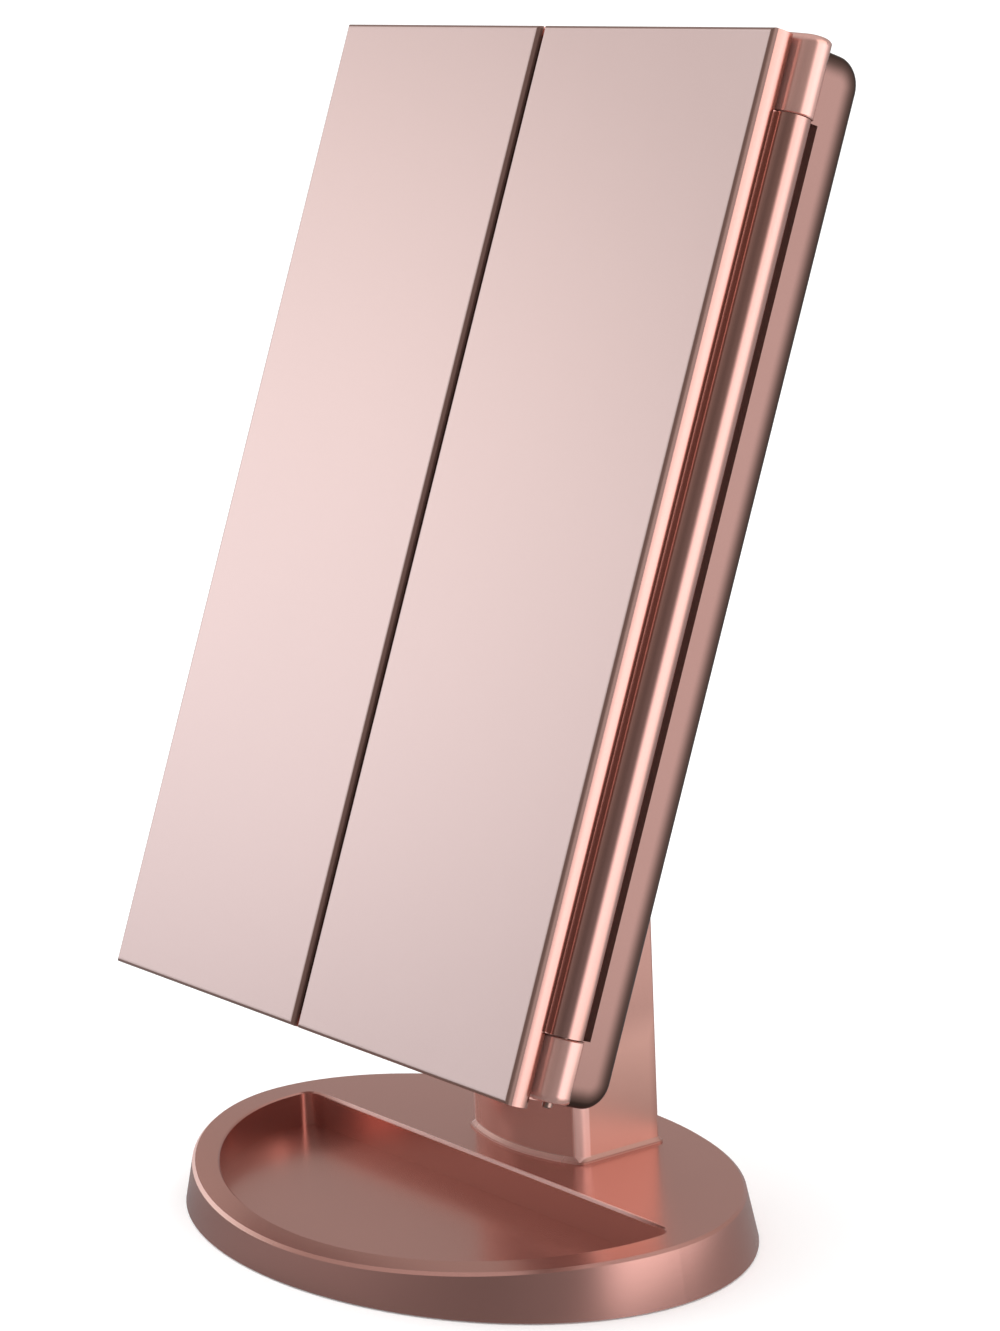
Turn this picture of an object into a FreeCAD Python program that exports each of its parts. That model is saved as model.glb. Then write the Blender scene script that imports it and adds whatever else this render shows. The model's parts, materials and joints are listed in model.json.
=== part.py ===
"""Trifold vanity mirror: lit mirror head with two folding wings, on a tilting stand with a tray base.

Stand frame: origin at the middle of the base on the ground, +X to the user's right, +Y back, +Z up.
Head frame: x as in the stand, y is the depth behind the closed wings' front face, z runs up the panel.
The head leans back by TILT and turns about the tilt pivot at the top of the stem.
Sizes are in millimetres.
"""
import FreeCAD
import Part
import math
import os

V = FreeCAD.Vector
X_AXIS = V(1, 0, 0)
Y_AXIS = V(0, 1, 0)
Z_AXIS = V(0, 0, 1)
FAR = 200.0

# ---- driving dimensions -------------------------------------------------------------------------
# mirror panel
PANEL_W = 170.0
PANEL_H = 253.0
PANEL_T = 29.8
SPLIT = 1.8
SPLIT_SHIFT = -1.6
TILT = 20.6

# wings
PLATE_T = 1.6
PLATE_EDGE_R = 1.2
WING_T = 6.2
WING_BULGE = 0.6
GLASS_T = 3.0
GLASS_RECESS = 0.3
GLASS_BEVEL = 0.5
FOAM_T = 0.5
WING_RIM = 2.4
MEETING_R = 1.2
MIRROR_OUTER = 79.0
MAGNIFIER_SPLIT = 96.0

# wing hinges
AXIS_DEPTH = 11.4
BARREL_R = 4.5
KNUCKLE_LOW = 17.6
KNUCKLE_HIGH = 235.4
KNUCKLE_BOTTOM = 2.4
KNUCKLE_TOP = 254.2
KNUCKLE_BACK = 0.9
KNUCKLE_REACH = 4.9
KNUCKLE_DOME = 1.8
KNUCKLE_GAP = 0.3
KNUCKLE_EASE = 0.3
PIN_R = 1.2
PIN_GRIP = 11.0
PIN_PROUD = 1.4
PIN_EASE = 0.3
BUSH_R = 2.2
BUSH_L = 10.0
BUSH_FLANGE_R = 3.2
BUSH_FLANGE_T = 0.8
RUNNING_GAP = 0.05

# centre frame
FRAME_HALF_W = 84.4
FRAME_LOW = 1.8
FRAME_HIGH = 252.8
SHELL_WALL = 2.0
SHELL_RIM = 2.8
SIDE_FILLET = 1.8
END_FILLET = 7.0
COVE_R = 8.0
COVE_SHIFT = 0.8
CAVITY_HALF_W = 76.1
BEZEL_HALF_W = 77.6
BEZEL_MARGIN = 3.8
BEZEL_LIP_T = 1.0
BEZEL_LIP_W = 4.6
CENTRE_GLASS_HALF_W = 61.4
STRIP_INNER = 61.6
GLASS_HALF_W = 74.4
GLASS_MARGIN = 7.1

# tilt hinge
PIVOT_Y = 24.0
PIVOT_Z = 138.5
PIVOT_UP = 98.8
PIVOT_BEHIND = 10.3
EAR_R = 10.0
EAR_INNER = 13.6
EAR_OUTER = 22.6
EAR_FOOT = 12.0
STEM_BARREL_HALF = 12.6
WASHER_T = 0.7
AXLE_R = 3.0
AXLE_BORE_R = 1.8
AXLE_HEAD_R = 5.4
AXLE_HEAD_T = 1.4
NUT_R = 5.6
NUT_T = 2.4
CAP_R = 6.6
CAP_T = 1.5
CAP_BEVEL = 0.4
NUT_SEAT = 5.2
WASHER_DISH = 1.0

# base
BASE_TOP_A = 85.4
BASE_TOP_B = 60.1
BASE_BOTTOM_A = 87.6
BASE_BOTTOM_B = 63.4
BASE_TOP_Z = 14.2
BASE_EDGE_Z = 0.4
DIP_R = 350.0
BASE_BEVEL = 0.7
BASE_WALL = 2.0
TRAY_FLOOR_Z = 5.0
TRAY_A = 76.5
TRAY_B = 55.0
TRAY_CHORD_Y = 5.6
TRAY_CORNER_R = 4.0
TRAY_BEVEL = 0.4
COVER_T = 1.6
COVER_GAP = 0.3
COVER_POST_R = 3.4
COVER_POST_TOP = 4.0
COVER_SCREW_R = 1.2
COVER_SCREW_BITE = 5.6
COVER_HEAD_R = 2.7
FOOT_R = 6.0
FOOT_SUNK = 0.6
FOOT_EASE = 0.3
WEIGHT_T = 5.6
WEIGHT_INSET = 6.0
WEIGHT_GAP = 1.0
WIRE_HOLE_R = 4.0
WIRE_HOLE_Y = 33.0

# stem
STEM_HALF_W = 22.8
STEM_SIDE_Y = 20.7
STEM_NOSE_Y = 15.7
STEM_BACK_Y = 46.0
STEM_EDGE_R = 2.6
STEM_BACK_R = 0.8
STEM_FOOT_OUT = 1.1
STEM_FOOT_T = 0.5
STEM_WALL = 2.0
STEM_SHOULDER_Z = 114.0
STEM_BEND_R = 14.0
STEM_BOSS_R = 3.2
STEM_BOSS_H = 12.0
STEM_SCREW_R = 1.3
STEM_SCREW_BITE = 10.0
STEM_SCREW_HEAD_R = 3.0
STEM_SCREW_HEAD_T = 2.2
STEM_SCREW_HOLE_R = 1.7

# battery compartment, in the back of the stem
CELL_R = 5.2
CELL_L = 44.5
CELL_PITCH = 10.9
CELL_COUNT = 3
DOOR_HALF_W = 18.2
DOOR_BOTTOM = 52.0
DOOR_TOP = 107.0
DOOR_T = 1.8
DOOR_GAP = 0.35
BAY_LOW = DOOR_BOTTOM + 2.2
BAY_HIGH = DOOR_TOP - 2.2
BAY_HALF_W = 16.4
HOLDER_HALF_W = 17.6
HOLDER_DEPTH = 12.6
HOLDER_GAP = 0.6
HOLDER_WEB = 1.6
LEAF_T = 0.4
LEAF_HALF_W = 3.2
CELL_BUTTON_R = 1.9
CELL_BUTTON_H = 1.2
GRIP_R = 0.5
GRIP_PITCH = 2.2
LATCH_T = 1.3

# power board, in the back of the stem
USB_Z = 23.5
USB_HALF_W = 3.75
USB_HALF_H = 1.4
USB_WALL = 0.35
USB_DEPTH = 4.5
USB_SUNK = 0.5
POWER_BOARD_HALF_W = 11.0
POWER_BOARD_LOW = 18.0
POWER_BOARD_HIGH = 46.0
SWITCH_HALF_W = 6.2
SWITCH_HALF_H = 2.8
SWITCH_SUNK = 0.6
SWITCH_Z = 38.0
KNOB_W = 4.6
KNOB_H = 3.2
SWITCH_TRAVEL = 2.4

# screws that close the head
SHELL_SCREW_R = 1.1
SHELL_SCREW_HEAD_R = 2.8
SHELL_SCREW_HEAD_T = 1.1
SHELL_SINK_R = 3.1
SHELL_SINK = 1.2
SHELL_HOLE_R = 1.4

# lighting
LED_COUNT = 11
LED_L = 3.5
LED_W = 2.8
LED_T = 1.6
BOARD_T = 1.6
LED_X = 68.2
LED_CUP = 0.4
BOX_INNER = 62.0
BOX_OUTER = 74.4
BOX_LOW = 12.0
BOX_HIGH = 241.0
BOX_WALL = 1.1
LED_BOARD_LOW = 16.0
LED_BOARD_HIGH = 237.0
LED_BOARD_HALF_W = 4.6

# ---- placement of the head ----------------------------------------------------------------------
LEAN = FreeCAD.Rotation(X_AXIS, -TILT)
PIVOT_DEPTH = PANEL_T + PIVOT_BEHIND
HEAD_CORNER = V(0, PIVOT_Y, PIVOT_Z) - LEAN.multVec(V(0, PIVOT_DEPTH, PIVOT_UP))
HEAD = FreeCAD.Placement(HEAD_CORNER, LEAN)
STAND = FreeCAD.Placement()

# ---- worked-out places --------------------------------------------------------------------------
HALF_W = PANEL_W / 2
FRAME_FRONT = AXIS_DEPTH - BARREL_R
LEFT_INNER = SPLIT / 2 - SPLIT_SHIFT
RIGHT_INNER = SPLIT / 2 + SPLIT_SHIFT
SHELL_FLOOR = PANEL_T - SHELL_WALL
BEZEL_LOW = BEZEL_MARGIN
BEZEL_HIGH = PANEL_H - BEZEL_MARGIN
LIP_BACK = FRAME_FRONT + BEZEL_LIP_T
GLASS_BACK = LIP_BACK + GLASS_T
GLASS_LOW = GLASS_MARGIN
GLASS_HIGH = PANEL_H - GLASS_MARGIN
BACKING_T = 1.6
BACKING_BACK = GLASS_BACK + BACKING_T
SHELL_SCREWS = [(x, z) for x in (-40, 40) for z in (20, 126.5, 233)]
POST_R = 3.2
TRAY_WALL_Y = TRAY_CHORD_Y + BASE_WALL
COVER_BOTTOM = BASE_EDGE_Z
COVER_TOP = COVER_BOTTOM + COVER_T
DECK_UNDER = BASE_TOP_Z - BASE_WALL
STEM_BOSS_X = 18.4
STEM_BOSS_FRONT = 26.0
STEM_BOSS_BACK = 40.6
STEM_BOSSES = [(x, y) for x in (-STEM_BOSS_X, STEM_BOSS_X) for y in (STEM_BOSS_FRONT, STEM_BOSS_BACK)]
BASE_FEET = [(x, y) for x in (-52, 52) for y in (-30, 32)]
COVER_SCREWS = [(-44, 40), (44, 40), (-79.3, -6), (79.3, -6)]
LIGHT_RIBS = (40, 126.5, 213)
BOARD_BOSSES = [(x, z) for x in (-20, 20) for z in (14, 48)]
BOARD_FRONT = 19.0
BOARD_BACK = BOARD_FRONT + BOARD_T
LIGHT_BOX_BACK = 21.6
LED_BOARD_BACK = LIGHT_BOX_BACK - 1.0
POWER_BOARD_BACK = STEM_BACK_Y - 11.0
TOUCH_Z = 24.0
TOUCH_R = 7.6
TOUCH_SPRING_R = 3.6


# ---- helpers ------------------------------------------------------------------------------------
def block(x0, x1, y0, y1, z0, z1):
    """Box between two corners."""
    return Part.makeBox(x1 - x0, y1 - y0, z1 - z0, V(x0, y0, z0))


def rod(radius, start, end):
    """Cylinder from one point to another."""
    along = end - start
    return Part.makeCylinder(radius, along.Length, start, along)


def tube(outer, inner, start, end):
    return rod(outer, start, end).cut(rod(inner, start, end))


def fused(first, *others):
    return first.fuse(list(others)).removeSplitter()


def side_extrusion(corners, x0, x1):
    """Flat outline in the side view, given as (y, z) corners, extruded along x."""
    wire = Part.makePolygon([V(x0, y, z) for y, z in corners + corners[:1]])
    return Part.Face(wire).extrude(V(x1 - x0, 0, 0))


def plan_extrusion(corners, z0, z1):
    """Flat outline in the plan view, given as (x, y) corners, extruded along z."""
    wire = Part.makePolygon([V(x, y, z0) for x, y in corners + corners[:1]])
    return Part.Face(wire).extrude(V(0, 0, z1 - z0))


def tangent_point(px, py, cx, cy, radius, side):
    """Point where the tangent from (px, py) touches a circle; side is +1 or -1."""
    reach = math.hypot(px - cx, py - cy)
    turn = side * math.acos(radius / reach)
    heading = math.atan2(py - cy, px - cx) + turn
    return cx + radius * math.cos(heading), cy + radius * math.sin(heading)


def edges_along(shape, direction, test):
    """Straight edges of a shape that run along a direction and whose middle passes a test."""
    found = []
    for edge in shape.Edges:
        run = edge.Vertexes[-1].Point - edge.Vertexes[0].Point
        straight = abs(abs(run.dot(direction)) - edge.Length) < 1e-4
        if straight and test(edge.CenterOfMass):
            found.append(edge)
    return found


def ellipse_face(a, b, z):
    curve = Part.Ellipse(V(0, 0, z), a, b)
    return Part.Face(Part.Wire([curve.toShape()]))


def ellipse_block(a, b, z0, z1):
    return ellipse_face(a, b, z0).extrude(V(0, 0, z1 - z0))


def upright_hole(radius, x, y):
    """Drill that stands on the ground at (x, y) and reaches through everything above."""
    return rod(radius, V(x, y, 0), V(x, y, FAR))


def mirrored(shape):
    return shape.mirror(V(0, 0, 0), X_AXIS)


def pan_screw(tip, seat, shank_r, head_r, head_t):
    """Screw with a plain round head; it runs from its tip to the seat under its head."""
    along = seat - tip
    along.normalize()
    return fused(rod(shank_r, tip, seat), rod(head_r, seat, seat + along * head_t))


def save(node, solids, place=STAND):
    """Write one node; several solids in one node stay separate."""
    if not isinstance(solids, list):
        solids = [solids]
    placed = []
    for solid in solids:
        for piece in solid.Solids:
            copy = piece.copy()
            copy.Placement = place.multiply(copy.Placement)
            placed.append(copy)
    shape = placed[0] if len(placed) == 1 else Part.makeCompound(placed)
    if not shape.isValid():
        print("not valid:", node)
    shape.exportStep("parts/%s.step" % node)


# ---- base ---------------------------------------------------------------------------------------
def top_height(y):
    """Height of the base's top: flat behind the middle, curving down in front of it."""
    if y > 0:
        return BASE_TOP_Z
    return BASE_TOP_Z - DIP_R + math.sqrt(DIP_R * DIP_R - y * y)


def air_over_dip():
    """Space above the curved front half of the base."""
    far = -BASE_BOTTOM_B - 5
    left = -BASE_BOTTOM_A - 5
    start = V(left, 0, BASE_TOP_Z)
    end = V(left, far, top_height(far))
    curve = Part.Arc(start, V(left, far / 2, top_height(far / 2)), end)
    above = 2 * BASE_TOP_Z
    box = Part.makePolygon([end, V(left, far, above), V(left, 0, above), start])
    return Part.Face(Part.Wire([curve.toShape()] + box.Edges)).extrude(V(-2 * left, 0, 0))


def rim_edges(shape):
    """Edges of the base's outer rim, all round the flat and the curved half of its top."""
    found = []
    for edge in shape.Edges:
        step = (edge.LastParameter - edge.FirstParameter) / 4
        samples = [edge.valueAt(edge.FirstParameter + step * k) for k in range(5)]
        on_top = all(abs(p.z - top_height(p.y)) < 0.05 for p in samples)
        crease = all(abs(p.y) < 0.01 for p in samples)
        if on_top and not crease:
            found.append(edge)
    return found


def make_base_tray():
    rings = []
    for a, b, z in ((BASE_BOTTOM_A, BASE_BOTTOM_B, BASE_EDGE_Z), (BASE_TOP_A, BASE_TOP_B, BASE_TOP_Z)):
        rings.append(Part.Wire([Part.Ellipse(V(0, 0, z), a, b).toShape()]))
    body = Part.makeLoft(rings, True, True).cut(air_over_dip())
    body = body.makeChamfer(BASE_BEVEL, rim_edges(body))

    tray = ellipse_block(TRAY_A, TRAY_B, TRAY_FLOOR_Z, 2 * BASE_TOP_Z)
    tray = tray.cut(block(-FAR, FAR, TRAY_CHORD_Y, FAR, 0, FAR))
    corners = edges_along(tray, Z_AXIS, lambda c: abs(c.y - TRAY_CHORD_Y) < 0.1)
    body = body.cut(tray.makeFillet(TRAY_CORNER_R, corners))
    chord = edges_along(body, X_AXIS, lambda c: c.distanceToPoint(V(0, TRAY_CHORD_Y, BASE_TOP_Z)) < 0.01)
    body = body.makeChamfer(TRAY_BEVEL, chord)

    inner_a = BASE_TOP_A - BASE_WALL
    inner_b = BASE_TOP_B - BASE_WALL
    under_tray = ellipse_block(inner_a, inner_b, 0, TRAY_FLOOR_Z - BASE_WALL)
    under_deck = ellipse_block(inner_a, inner_b, 0, DECK_UNDER)
    under_deck = under_deck.common(block(-FAR, FAR, TRAY_WALL_Y, FAR, 0, FAR))
    body = body.cut(under_tray).cut(under_deck)

    for x, y in COVER_SCREWS:
        post_top = DECK_UNDER + 1 if y > TRAY_WALL_Y else COVER_POST_TOP
        post = rod(COVER_POST_R, V(x, y, COVER_TOP), V(x, y, post_top))
        hole = rod(COVER_SCREW_R, V(x, y, 0), V(x, y, COVER_TOP + COVER_SCREW_BITE + COVER_GAP))
        body = body.fuse(post).cut(hole)
    for x, y in STEM_BOSSES:
        body = body.cut(upright_hole(STEM_SCREW_HOLE_R, x, y))
    return body.cut(upright_hole(WIRE_HOLE_R, 0, WIRE_HOLE_Y)).removeSplitter()


def make_bottom_cover():
    inset = BASE_WALL + COVER_GAP
    cover = ellipse_block(BASE_TOP_A - inset, BASE_TOP_B - inset, COVER_BOTTOM, COVER_TOP)
    for x, y in COVER_SCREWS:
        sink = Part.makeCone(COVER_HEAD_R + 0.2, COVER_SCREW_R + 0.1, COVER_T, V(x, y, COVER_BOTTOM), Z_AXIS)
        cover = cover.cut(sink)
    for x, y in BASE_FEET:
        cover = cover.cut(rod(FOOT_R + 0.1, V(x, y, 0), V(x, y, COVER_BOTTOM + FOOT_SUNK)))
    return cover


def make_rubber_feet():
    feet = []
    for x, y in BASE_FEET:
        foot = rod(FOOT_R, V(x, y, 0), V(x, y, COVER_BOTTOM + FOOT_SUNK))
        sole = [e for e in foot.Edges if e.BoundBox.ZMax < 1e-3]
        feet.append(foot.makeChamfer(FOOT_EASE, sole))
    return feet


def make_weight_plate():
    """Steel plate under the deck, cut away round the cover's posts, the stem's screws and the wires."""
    plate = ellipse_block(BASE_TOP_A - WEIGHT_INSET, BASE_TOP_B - WEIGHT_INSET,
                          COVER_TOP, COVER_TOP + WEIGHT_T)
    plate = plate.common(block(-FAR, FAR, TRAY_WALL_Y + WEIGHT_GAP, FAR, 0, FAR))
    for x, y in COVER_SCREWS:
        plate = plate.cut(upright_hole(COVER_POST_R + WEIGHT_GAP, x, y))
    reach = STEM_SCREW_HEAD_R + WEIGHT_GAP
    for side in (-1, 1):
        x0, x1 = sorted((side * (STEM_BOSS_X - reach), side * (STEM_BOSS_X + reach)))
        plate = plate.cut(block(x0, x1, STEM_BOSS_FRONT - reach, STEM_BOSS_BACK + reach, 0, FAR))
    return plate.cut(upright_hole(WIRE_HOLE_R + WEIGHT_GAP, 0, WIRE_HOLE_Y))


def make_cover_screws():
    screws = []
    for x, y in COVER_SCREWS:
        shank = rod(COVER_SCREW_R, V(x, y, COVER_BOTTOM + 0.2), V(x, y, COVER_TOP + COVER_SCREW_BITE))
        head = Part.makeCone(COVER_HEAD_R, COVER_SCREW_R, COVER_T - 0.1, V(x, y, COVER_BOTTOM + 0.1), Z_AXIS)
        screws.append(fused(shank, head))
    return screws


def make_stem_screws():
    screws = []
    for x, y in STEM_BOSSES:
        tip = V(x, y, BASE_TOP_Z + STEM_SCREW_BITE)
        screws.append(pan_screw(tip, V(x, y, DECK_UNDER), STEM_SCREW_R, STEM_SCREW_HEAD_R, STEM_SCREW_HEAD_T))
    return screws


# ---- stem ---------------------------------------------------------------------------------------
def stem_plan(inset, z0, z1):
    """Plan of the stem, bowed at the front, straight at the sides and back, drawn in by an inset."""
    half = STEM_HALF_W - inset
    side = STEM_SIDE_Y + inset
    nose = STEM_NOSE_Y + inset
    back = STEM_BACK_Y - inset
    bow = Part.Arc(V(-half, side, z0), V(0, nose, z0), V(half, side, z0)).toShape()
    right = Part.makeLine(V(half, side, z0), V(half, back, z0))
    rear = Part.makeLine(V(half, back, z0), V(-half, back, z0))
    left = Part.makeLine(V(-half, back, z0), V(-half, side, z0))
    column = Part.Face(Part.Wire([bow, right, rear, left])).extrude(V(0, 0, z1 - z0))
    if inset <= 0:
        front_edges = edges_along(column, Z_AXIS, lambda c: c.y < STEM_SIDE_Y + 1)
        column = column.makeFillet(STEM_EDGE_R - inset, front_edges)
        back_edges = edges_along(column, Z_AXIS, lambda c: c.y > STEM_BACK_Y - 1)
        column = column.makeFillet(STEM_BACK_R - inset, back_edges)
    return column


def stem_silhouette(inset):
    """Side outline of the stem: upright, then leaning in to the round hinge barrel at its top."""
    radius = EAR_R - inset
    back = STEM_BACK_Y - inset
    touch = tangent_point(back, STEM_SHOULDER_Z, PIVOT_Y, PIVOT_Z, radius, 1)
    column = [(0, 0), (back, 0), (back, STEM_SHOULDER_Z), touch, (PIVOT_Y, PIVOT_Z), (0, PIVOT_Z)]
    outline = side_extrusion(column, -FAR, FAR)
    bend = edges_along(outline, X_AXIS, lambda c: c.distanceToPoint(V(0, back, STEM_SHOULDER_Z)) < 0.1)
    return outline.makeFillet(STEM_BEND_R - inset, bend)


def flared_foot(outer):
    """Thin foot round the stem's bottom, with a bevel where the column rises from it."""
    foot_top = BASE_TOP_Z + STEM_FOOT_T
    outer = outer.fuse(stem_plan(-STEM_FOOT_OUT, BASE_TOP_Z, foot_top)).removeSplitter()
    rise = []
    for edge in outer.Edges:
        box = edge.BoundBox
        level = abs(box.ZMin - foot_top) < 1e-3 and abs(box.ZMax - foot_top) < 1e-3
        slim = max(box.XMax, -box.XMin) < STEM_HALF_W + 0.1
        if level and slim and box.YMin > STEM_NOSE_Y - 0.1 and box.YMax < STEM_BACK_Y + 0.1:
            rise.append(edge)
    return outer.makeChamfer(STEM_FOOT_OUT - 0.2, rise)


def make_stem_shell():
    outer = flared_foot(stem_plan(0, BASE_TOP_Z, PIVOT_Z).common(stem_silhouette(0)))
    pivot = V(0, PIVOT_Y, PIVOT_Z)
    half_barrel = X_AXIS * STEM_BARREL_HALF
    for side in (-1, 1):
        start = pivot + half_barrel * side
        outer = outer.cut(rod(EAR_R + 0.5, start, start + X_AXIS * (side * FAR)))
        x0, x1 = sorted((side * STEM_BARREL_HALF, side * FAR))
        outer = outer.cut(block(x0, x1, 0, PIVOT_Y, PIVOT_Z - EAR_R - 3.0, FAR))
    outer = outer.fuse(rod(EAR_R, pivot - half_barrel, pivot + half_barrel)).removeSplitter()

    hollow = stem_plan(STEM_WALL, 0, PIVOT_Z - EAR_R - 3.5).common(stem_silhouette(STEM_WALL))
    shell = outer.cut(hollow)
    shell = shell.cut(rod(AXLE_R + RUNNING_GAP, pivot - X_AXIS * FAR, pivot + X_AXIS * FAR))
    for x, y in STEM_BOSSES:
        boss = rod(STEM_BOSS_R, V(x, y, BASE_TOP_Z), V(x, y, BASE_TOP_Z + STEM_BOSS_H))
        shell = shell.fuse(boss).cut(rod(STEM_SCREW_R, V(x, y, 0), V(x, y, BASE_TOP_Z + STEM_SCREW_BITE)))
    for side in (-1, 1):
        x0, x1 = sorted((side * (POWER_BOARD_HALF_W - 2), side * (STEM_HALF_W - STEM_WALL / 2)))
        rail = block(x0, x1, POWER_BOARD_BACK - STEM_WALL, POWER_BOARD_BACK,
                     POWER_BOARD_LOW, POWER_BOARD_HIGH)
        shell = shell.fuse(rail)

    shell = shell.cut(back_window(DOOR_HALF_W + DOOR_GAP, DOOR_BOTTOM - DOOR_GAP, DOOR_TOP + DOOR_GAP))
    shell = shell.cut(back_window(USB_HALF_W + USB_WALL, USB_Z - USB_HALF_H - 0.3, USB_Z + USB_HALF_H + 0.3))
    slot_half = (KNOB_W + SWITCH_TRAVEL) / 2 + 0.4
    slot_half_h = KNOB_H / 2 + 0.4
    shell = shell.cut(back_window(slot_half, SWITCH_Z - slot_half_h, SWITCH_Z + slot_half_h))
    dish = back_window(slot_half + 1.2, SWITCH_Z - slot_half_h - 1.4, SWITCH_Z + slot_half_h + 1.4)
    dish.translate(Y_AXIS * (STEM_BACK_Y - 0.6 - dish.BoundBox.YMin))
    return shell.cut(dish).removeSplitter()


def back_window(half_w, z0, z1):
    """Block that pierces the back wall of the stem."""
    return block(-half_w, half_w, STEM_BACK_Y - 2 * STEM_WALL, STEM_BACK_Y + 2 * STEM_WALL, z0, z1)


def make_battery_holder():
    back = STEM_BACK_Y - DOOR_T - HOLDER_WEB
    front = back - HOLDER_DEPTH
    low = DOOR_BOTTOM + HOLDER_GAP
    high = DOOR_TOP - HOLDER_GAP
    holder = block(-HOLDER_HALF_W, HOLDER_HALF_W, front, back, low, high)
    cell_y = back - CELL_R - LEAF_T
    holder = holder.cut(block(-BAY_HALF_W, BAY_HALF_W, cell_y, back + 1, BAY_LOW, BAY_HIGH))
    seat = STEM_HALF_W - STEM_WALL
    holder = holder.fuse(block(-seat, seat, front, front + HOLDER_WEB, low, high))
    for place in range(CELL_COUNT):
        x = (place - 1) * CELL_PITCH
        holder = holder.cut(rod(CELL_R + 0.2, V(x, cell_y, BAY_LOW), V(x, cell_y, BAY_HIGH)))
    return holder.removeSplitter(), cell_y


def make_batteries(cell_y):
    cells = []
    low = (DOOR_BOTTOM + DOOR_TOP - CELL_L) / 2
    for place in range(CELL_COUNT):
        x = (place - 1) * CELL_PITCH
        up = 1 if place % 2 == 0 else -1
        start = V(x, cell_y, low if up > 0 else low + CELL_L)
        can = rod(CELL_R, start, start + Z_AXIS * (up * (CELL_L - CELL_BUTTON_H)))
        button = rod(CELL_BUTTON_R, start, start + Z_AXIS * (up * CELL_L))
        cells.append(fused(can, button))
    return cells


def make_battery_contacts(cell_y):
    """Leaf contacts at each end of the bay, one pair per cell, bent towards the cell's end."""
    leaves = []
    low = (DOOR_BOTTOM + DOOR_TOP - CELL_L) / 2
    for place in range(CELL_COUNT):
        x = (place - 1) * CELL_PITCH
        for bay_end, cell_end in ((BAY_LOW, low), (BAY_HIGH, low + CELL_L)):
            way = math.copysign(1, cell_end - bay_end)
            base_z = bay_end + way * LEAF_T
            leaf = side_extrusion([(cell_y - 4, bay_end), (cell_y + 4, bay_end), (cell_y + 4, base_z),
                                   (cell_y - 2, base_z), (cell_y + 1, cell_end - way * LEAF_T),
                                   (cell_y + 1, cell_end), (cell_y - 3, base_z), (cell_y - 4, base_z)],
                                  x - LEAF_HALF_W, x + LEAF_HALF_W)
            leaves.append(leaf)
    return leaves


def make_battery_door():
    """Door with finger grips, a latch at its top and two tongues at its bottom."""
    inner = STEM_BACK_Y - DOOR_T
    door = block(-DOOR_HALF_W, DOOR_HALF_W, inner, STEM_BACK_Y, DOOR_BOTTOM, DOOR_TOP)
    door = door.makeFillet(GRIP_R, edges_along(door, X_AXIS, lambda c: c.z < DOOR_BOTTOM + 0.1))
    for row in range(3):
        z = DOOR_TOP - 6 - row * GRIP_PITCH
        door = door.cut(rod(GRIP_R, V(-6, STEM_BACK_Y + 0.1, z), V(6, STEM_BACK_Y + 0.1, z)))
    catches = [block(-5, 5, inner - LATCH_T, inner, DOOR_TOP - 5, DOOR_TOP - 0.4)]
    for x in (-12, 12):
        catches.append(block(x - 2, x + 2, inner - LATCH_T, inner, DOOR_BOTTOM + 0.6, DOOR_BOTTOM + 3))
    return fused(door, *catches)


def make_power_board():
    return block(-POWER_BOARD_HALF_W, POWER_BOARD_HALF_W, POWER_BOARD_BACK, POWER_BOARD_BACK + BOARD_T,
                 POWER_BOARD_LOW, POWER_BOARD_HIGH)


def make_usb_socket():
    """Micro socket: a thin can with two slanted lower corners and a tongue inside."""
    mouth = STEM_BACK_Y - USB_SUNK
    can = block(-USB_HALF_W, USB_HALF_W, POWER_BOARD_BACK + BOARD_T, mouth,
                USB_Z - USB_HALF_H, USB_Z + USB_HALF_H)
    can = can.makeChamfer(2 * USB_WALL, edges_along(can, Y_AXIS, lambda c: c.z < USB_Z))
    half_w = USB_HALF_W - USB_WALL
    half_h = USB_HALF_H - USB_WALL
    bore = block(-half_w, half_w, mouth - USB_DEPTH, mouth + 1, USB_Z - half_h, USB_Z + half_h)
    bore = bore.makeChamfer(USB_WALL, edges_along(bore, Y_AXIS, lambda c: c.z < USB_Z))
    tongue = block(-2.6, 2.6, mouth - USB_DEPTH - 0.1, mouth - 0.8, USB_Z - 0.1, USB_Z + 0.4)
    return fused(can.cut(bore), tongue)


def make_switch_body():
    back = STEM_BACK_Y - STEM_WALL - SWITCH_SUNK
    body = block(-SWITCH_HALF_W, SWITCH_HALF_W, POWER_BOARD_BACK + BOARD_T, back,
                 SWITCH_Z - SWITCH_HALF_H, SWITCH_Z + SWITCH_HALF_H)
    slot_half = (KNOB_W + SWITCH_TRAVEL) / 2 + 0.3
    slot_half_h = KNOB_H / 2 + 0.3
    slot = block(-slot_half, slot_half, back - 2.4, back + 1, SWITCH_Z - slot_half_h, SWITCH_Z + slot_half_h)
    return body.cut(slot)


def make_switch_knob():
    """Thumb piece at the left end of its travel, with three grooves for grip."""
    back = STEM_BACK_Y - STEM_WALL - SWITCH_SUNK
    left = -(KNOB_W + SWITCH_TRAVEL) / 2
    low = SWITCH_Z - KNOB_H / 2
    high = SWITCH_Z + KNOB_H / 2
    knob = block(left, left + KNOB_W, back - 2.0, STEM_BACK_Y + 0.6, low, high)
    for rib in range(3):
        x = left + KNOB_W * (rib + 1) / 4
        knob = knob.cut(rod(0.3, V(x, STEM_BACK_Y + 0.7, low - 1), V(x, STEM_BACK_Y + 0.7, high + 1)))
    return knob


# ---- tilt hinge ---------------------------------------------------------------------------------
def on_pivot(x):
    return V(x, PIVOT_Y, PIVOT_Z)


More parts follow.
